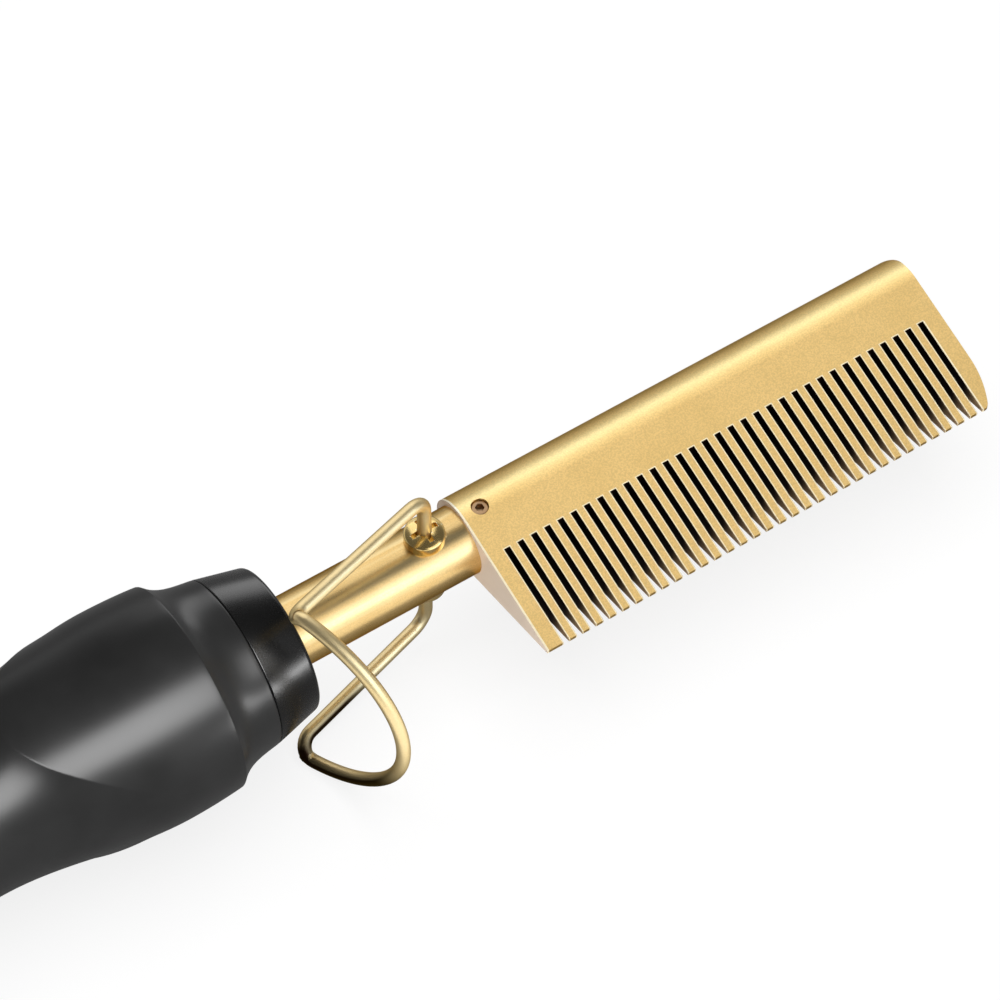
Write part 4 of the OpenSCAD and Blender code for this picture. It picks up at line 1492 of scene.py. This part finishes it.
    def build(self) -> None:
        """Builds the two shells, and cuts the flat with the panel's pocket and the holes."""
        skin = self.skin()
        shell = self.parted(skin, "handle_upper_shell", True)
        cover = self.parted(skin, "handle_cover_shell", False)
        bpy.data.objects.remove(skin.it)
        shell.combine(Piece.stadium("flat", self.controls, *self.flat_size, self.flat_z, OUTSIDE))
        shell.combine(Piece.stadium("pocket", self.controls, *self.pocket_size, self.pocket_z,
                                    OUTSIDE))
        self.add_bosses(cover)
        for part, node in ((shell, "handle_shell"), (cover, "back_cover")):
            part.smooth(28)
            part.install("main", "black_plastic", node)


@dataclass
class CordOutlet:
    """Trim ring at the handle's rear and the cap of the turning cord outlet, with its flutes."""

    tail: float = -178.05
    tail_r: float = 14.8
    ring_gap: float = 0.03
    ring_taper: float = 0.417
    ring_groove: Tuple[Pair, ...] = ((-179.4, 0), (-179.5, 0.35), (-179.8, 0.35), (-179.9, 0))
    ring_round: Pair = (-181.55, 10.7)
    ring_round_r: float = 2.5
    ring_rear: float = -184.05
    ring_bore_r: float = 6.3
    cap_front: float = -184.35
    cap_r: float = 8.4
    flutes: int = 30
    flute_front: float = -185.6
    flute_front_drop: float = 0.42
    flute_rear: float = -189.3
    flute_rear_r: float = 7.25
    flute_least_r: float = 7.0
    flute_inset: float = 0.12
    flute_depth: float = 0.35
    cap_round: Pair = (-190.55, 5.5)
    cap_round_r: float = 1.5
    rear: float = -192.05
    cord_r: float = 3.1
    socket_r: float = 4.65
    socket_end: float = -188.05

    def build_ring(self) -> None:
        """Turns the trim ring with a fine groove in its side."""
        front = self.tail - self.ring_gap
        corners = [(front, self.ring_bore_r, 0.2), (front, self.tail_r - 0.02, 0.25)]
        corners += [(x, self.tail_r - self.ring_taper * (self.tail - x) - deep, 0.04)
                    for x, deep in self.ring_groove]
        corners += [(x, r, 0) for x, r in arc(self.ring_round, self.ring_round_r, 100, 180)]
        corners.append((self.ring_rear, self.ring_bore_r, 0.25))
        ring = Piece.turned("rear_trim", rounded(corners, closed=True), 128)
        ring.smooth(35)
        ring.install("main", "black_plastic", "tail_ring")

    def in_flute(self, face: bpy.types.MeshPolygon) -> bool:
        """Whether a face of the cap becomes the bottom of a flute.

        Args:
            face: The face.

        Returns:
            The answer.
        """
        x, y, z = (face.center - AXIS) / MM
        turn = math.degrees(math.atan2(y, z)) % 360 // (180 / self.flutes)
        on_side = self.flute_rear < x < self.flute_front
        return on_side and math.hypot(y, z) > self.flute_least_r and turn % 2 == 0

    def build_cap(self) -> None:
        """Turns the cap and presses flutes into its side."""
        corners = [(self.cap_front, self.socket_r, 0.2), (self.cap_front, self.cap_r, 0.4),
                   (self.flute_front, self.cap_r - self.flute_front_drop, 0),
                   (self.flute_rear, self.flute_rear_r, 0)]
        corners += [(x, r, 0) for x, r in arc(self.cap_round, self.cap_round_r, 110, 180, 8)]
        corners += [(self.rear, self.cord_r, 0.5), (self.socket_end, self.cord_r, 0.15),
                    (self.socket_end, self.socket_r, 0.15)]
        cap = Piece.turned("outlet_cap", rounded(corners, closed=True), 2 * self.flutes)
        cap.edit_faces(self.in_flute)
        bpy.ops.mesh.inset(thickness=self.flute_inset * MM, depth=-self.flute_depth * MM)
        cap.leave()
        cap.soften(0.08, 40)
        cap.smooth(35)
        cap.install("cord_outlet", "black_plastic", "gland_cap")

    def build(self) -> None:
        """Builds the ring and the cap."""
        self.build_ring()
        self.build_cap()


class Mark(Enum):
    """Raised mark in a button's dish."""

    RING = "ring"
    BAR = "bar"
    CROSS = "cross"


@dataclass
class Controls:
    """Control panel with a border groove, and three dished buttons on their own bodies."""

    middle: float = -140.05
    length: float = 50.0
    width: float = 12.0
    low: float = 13.9
    top: float = 15.5
    edge: float = 0.3
    groove_size: Pair = (48.2, 10.2)
    island_size: Pair = (47.4, 9.4)
    groove_depth: float = 0.22
    power: float = -123.05
    lights: float = -132.05
    down: float = -142.55
    up: float = -153.55
    hole_r: float = 4.15
    lenses: int = 4
    lens_hole_r: float = 0.85
    lens_pitch: float = 2.4
    button_r: float = 4.0
    flange_r: float = 4.8
    flange_low: float = 13.05
    flange_high: float = 13.85
    stem_r: float = 1.5
    crest: float = 16.3
    dish_r: float = 12.25
    dish_rise: float = 12.0
    dish_rings: Tuple[float, ...] = (1.9, 1.4, 0.9, 0.45, 0)
    mark_w: float = 0.55
    mark_len: float = 2.9
    mark_low: float = 0.6
    mark_high: float = 0.04

    def build_panel(self) -> None:
        """Builds the panel with its holes and border groove."""
        panel = Piece.stadium("touch_panel", self.middle, self.length, self.width, self.low,
                              self.top)
        below, above = self.low - 1, self.top + 1
        for x in (self.power, self.down, self.up):
            panel.combine(Piece.post("hole", x, 0, self.hole_r, below, above, 64))
        panel.soften(self.edge, 40, 3)
        groove = Piece.stadium("groove", self.middle, *self.groove_size,
                               self.top - self.groove_depth, above)
        groove.combine(Piece.stadium("island", self.middle, *self.island_size, self.top - 1,
                                     self.top + 2))
        panel.combine(groove)
        for index in range(self.lenses):
            y = (index - (self.lenses - 1) / 2) * self.lens_pitch
            panel.combine(Piece.post("lens", self.lights, y, self.lens_hole_r, below, above))
        panel.smooth(30)
        panel.flatten(12)
        panel.install("main", "panel_plastic", "control_panel")

    def dish(self, r: float) -> float:
        """Height of a button's dish at a distance from its middle."""
        return self.crest + self.dish_rise - math.sqrt(self.dish_r ** 2 - r ** 2)

    def add_mark(self, button: Piece, x: float, mark: Mark) -> None:
        """Raises a button's mark in its dish.

        Args:
            button: The button.
            x: Station of its axis.
            mark: The mark.
        """
        low, high = self.crest - self.mark_low, self.crest - self.mark_high
        half, thin = self.mark_len / 2, self.mark_w / 2
        if mark is Mark.RING:
            near, far = half - thin, half + thin
            ring = [(near, low), (near, high), (far, high), (far, low), (near, low)]
            button.combine(Piece.turned_upright("mark", ring, (x, 0), 96), Cut.JOIN)
            return
        bars = [(thin, half)] + ([(half, thin)] if mark is Mark.CROSS else [])
        for long, wide in bars:
            button.combine(Piece.block("mark", (x - long, -wide, low), (x + long, wide, high)),
                           Cut.JOIN)

    def build_button(self, name: str, body: str, node: str, x: float, mark: Mark) -> None:
        """Turns a button and raises its mark in the dish.

        Args:
            name: The button's name.
            body: The body that it is pressed with.
            node: The plain node that it stands for.
            x: Station of its axis.
            mark: Its raised mark.
        """
        foot = (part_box(node)[0][2] - AXIS.z) / MM
        rim = math.sqrt(self.dish_r ** 2 - self.dish_rise ** 2)
        button = Piece.turned_upright(name, rounded([
            (0, foot, 0), (self.stem_r, foot, 0.2), (self.stem_r, self.flange_low, 0.1),
            (self.flange_r, self.flange_low, 0.15), (self.flange_r, self.flange_high, 0.15),
            (self.button_r, self.flange_high, 0.05), (self.button_r, self.crest, 0.5),
            (rim, self.crest, 0.5), *((r, self.dish(r), 0) for r in self.dish_rings)]), (x, 0), 96)
        self.add_mark(button, x, mark)
        button.soften(0.06, 50)
        button.smooth(35)
        button.install(body, "button_plastic", node)

    def build(self) -> None:
        """Builds the panel and its buttons."""
        self.build_panel()
        self.build_button("power_cap", "power_key", "power_button", self.power, Mark.RING)
        self.build_button("heat_down_cap", "heat_down_key", "heat_down_button", self.down,
                          Mark.BAR)
        self.build_button("heat_up_cap", "heat_up_key", "heat_up_button", self.up, Mark.CROSS)


def dress_plain_nodes() -> None:
    """Gives every plain node that stays in view or inside the finish of its material slot."""
    for part in frame["record"]["subparts"]:
        PAINT.dress(frame["nodes"][part["node"]], part["material_slot"])
        LOG.info("%s: plain node, finish %s", part["node"], part["material_slot"])


@dataclass(frozen=True)
class SoftBox:
    """Rectangular lamp that faces the object, or a point beside it.

    Its way leads from there to the lamp. The distance, the size (level side, other side) and the
    point are in metres. A level of 1 is as bright as a white surface in plain light.
    """

    name: str
    way: Triple
    distance: float
    size: Pair
    level: float
    lit: Lit
    tint: Colour = (1.0, 1.0, 1.0)
    beside: Triple = (0, 0, 0)

    def hang(self) -> None:
        """Hangs the lamp in the scene and links it to the pieces that it lights."""
        data = bpy.data.lights.new(self.name, "AREA")
        data.shape, data.energy = "RECTANGLE", 4 * self.size[0] * self.size[1] * self.level
        data.size, data.size_y = self.size
        data.color = self.tint
        lamp = bpy.data.objects.new(self.name, data)
        bpy.context.scene.collection.objects.link(lamp)
        out = Vector(self.way).normalized()
        lamp.matrix_world = (Matrix.Translation(Vector(self.beside) + out * self.distance)
                             @ out.to_track_quat("Z", "Y").to_matrix().to_4x4())
        lamp.light_linking.receiver_collection = self.lit.pieces()


COOL = (0.4, 0.62, 1.0)  # tint of the strips, whose highlights are whiter than the gold
LAMPS = (
    SoftBox("floor_box", (0, 0, 1), 2.0, (2.0, 2.0), 3.6, Lit.STAGE),
    SoftBox("plastic_key", turned_way(49, 0.03), 1.3, (1.2, 0.74), 13.5, Lit.PLASTIC),
    SoftBox("plastic_low", (0.58, -0.81, 0.0), 1.0, (0.4, 0.3), 16.0, Lit.PLASTIC),
    SoftBox("plastic_back", (0.62, 0.72, 0.32), 1.1, (0.7, 0.5), 2.2, Lit.PLASTIC),
    SoftBox("metal_key", turned_way(30), 1.3, (1.4, 1.5), 0.95, Lit.METAL),
    SoftBox("metal_strip", turned_way(25), 1.3, (1.4, 0.5), 1.9, Lit.METAL, COOL),
    SoftBox("metal_card", (0, 0, -1), -0.002, (1.6, 0.9), 0.75, Lit.METAL,
            beside=(0.2, -0.49, 0)),
    SoftBox("metal_second", turned_way(130), 1.3, (1.4, 1.3), 0.85, Lit.METAL),
    SoftBox("comb_key", turned_way(36), 1.3, (1.4, 1.2), 1.2, Lit.COMB),
    SoftBox("comb_second", turned_way(113), 1.3, (1.4, 1.45), 1.0, Lit.COMB),
    SoftBox("comb_strip", turned_way(138), 1.3, (1.4, 0.4), 2.2, Lit.COMB, COOL),
    SoftBox("comb_end", (-0.75, -0.45, 0.15), 1.2, (0.7, 0.7), 7.0, Lit.COMB))


@dataclass
class Studio:
    """Pale floor, soft lamps and the camera."""

    camera_place: Triple = (-0.20509, -0.380753, 0.740135)
    camera_right: Triple = (0.838585, -0.544753, 0.004501)
    camera_up: Triple = (0.45341, 0.702506, 0.548547)
    camera_back: Triple = (-0.301985, -0.457963, 0.836107)
    lens: float = 160.742
    white: Colour = (1.0, 1.0, 1.0)
    floor_tones: Tuple[Colour, Colour] = (tone(236, 236, 236), tone(240, 240, 240))
    floor_grain: float = 60
    floor_glow: float = 0.85
    floor_gloss: float = 0.16
    horizon: float = 0.15
    far_horizon: float = 0.85
    overhead: float = 0.12

    def build_camera(self) -> None:
        """Sets the camera at the photograph's angle."""
        data = bpy.data.cameras.new("camera")
        data.lens, data.sensor_width, data.sensor_fit = self.lens, 36, "HORIZONTAL"
        data.clip_start, data.clip_end = 0.01, 50
        camera = bpy.data.objects.new("camera", data)
        bpy.context.scene.collection.objects.link(camera)
        turn = Matrix((self.camera_right, self.camera_up, self.camera_back)).transposed()
        camera.matrix_world = Matrix.Translation(self.camera_place) @ turn.to_4x4()
        bpy.context.scene.camera = camera

    def build_floor(self) -> None:
        """Lays the floor, white to the camera and to reflections, with a soft shadow."""
        Piece.clear()
        bpy.ops.mesh.primitive_plane_add(size=12, location=(0, 0, 0))
        floor = Piece.settled("floor").it
        graph = Graph("floor")
        seen = graph.rays("Is Camera Ray", "Is Glossy Ray", "Is Transmission Ray")
        mixed = graph.mix(graph.noise(self.floor_grain, 3), *self.floor_tones)
        paint = graph.node("ShaderNodeBsdfDiffuse", {}, {"Color": mixed})
        level = (graph.rays("Is Camera Ray", "Is Transmission Ray")
                 + graph.rays("Is Glossy Ray") * self.floor_gloss)
        glow = graph.node("ShaderNodeEmission", {}, {"Color": self.white, "Strength": level})
        graph.end(graph.node("ShaderNodeMixShader", {},
                             {0: seen * self.floor_glow, 1: paint, 2: glow}))
        floor.data.materials.append(graph.material)
        Lit.STAGE.pieces().objects.link(floor)

    def build_world(self) -> None:
        """Fills the room: white to the camera, and as light bright at the far horizon."""
        world = bpy.data.worlds.new("room")
        bpy.context.scene.world = world
        graph = Graph("room", world)
        way = graph.place()
        far = graph.share(way, "Y").over(0.1, 1.4)
        level = self.horizon + far * (self.far_horizon - self.horizon)
        low = 1 - graph.share(way, "Z").over(0.3, 0.5)
        light = self.overhead + low * (level - self.overhead)
        camera = graph.rays("Is Camera Ray")
        room = graph.node("ShaderNodeBackground", {},
                          {"Color": self.white, "Strength": camera + (1 - camera) * light})
        graph.end(room, "ShaderNodeOutputWorld")

    def build(self) -> None:
        """Builds the whole studio."""
        bpy.context.scene.view_settings.view_transform = "Standard"
        self.build_camera()
        self.build_floor()
        self.build_world()
        for lamp in LAMPS:
            lamp.hang()


def main() -> None:
    """Builds the studio and every sub-assembly."""
    logging.basicConfig(level=logging.INFO, format="%(name)s %(message)s")
    Studio().build()
    dress_plain_nodes()
    for assembly in (CombHead(), PivotScrews(), StandWire(), Collar(), Handle(), CoverScrews(),
                     CordOutlet(), Controls()):
        assembly.build()


if __name__ == "__main__":
    main()
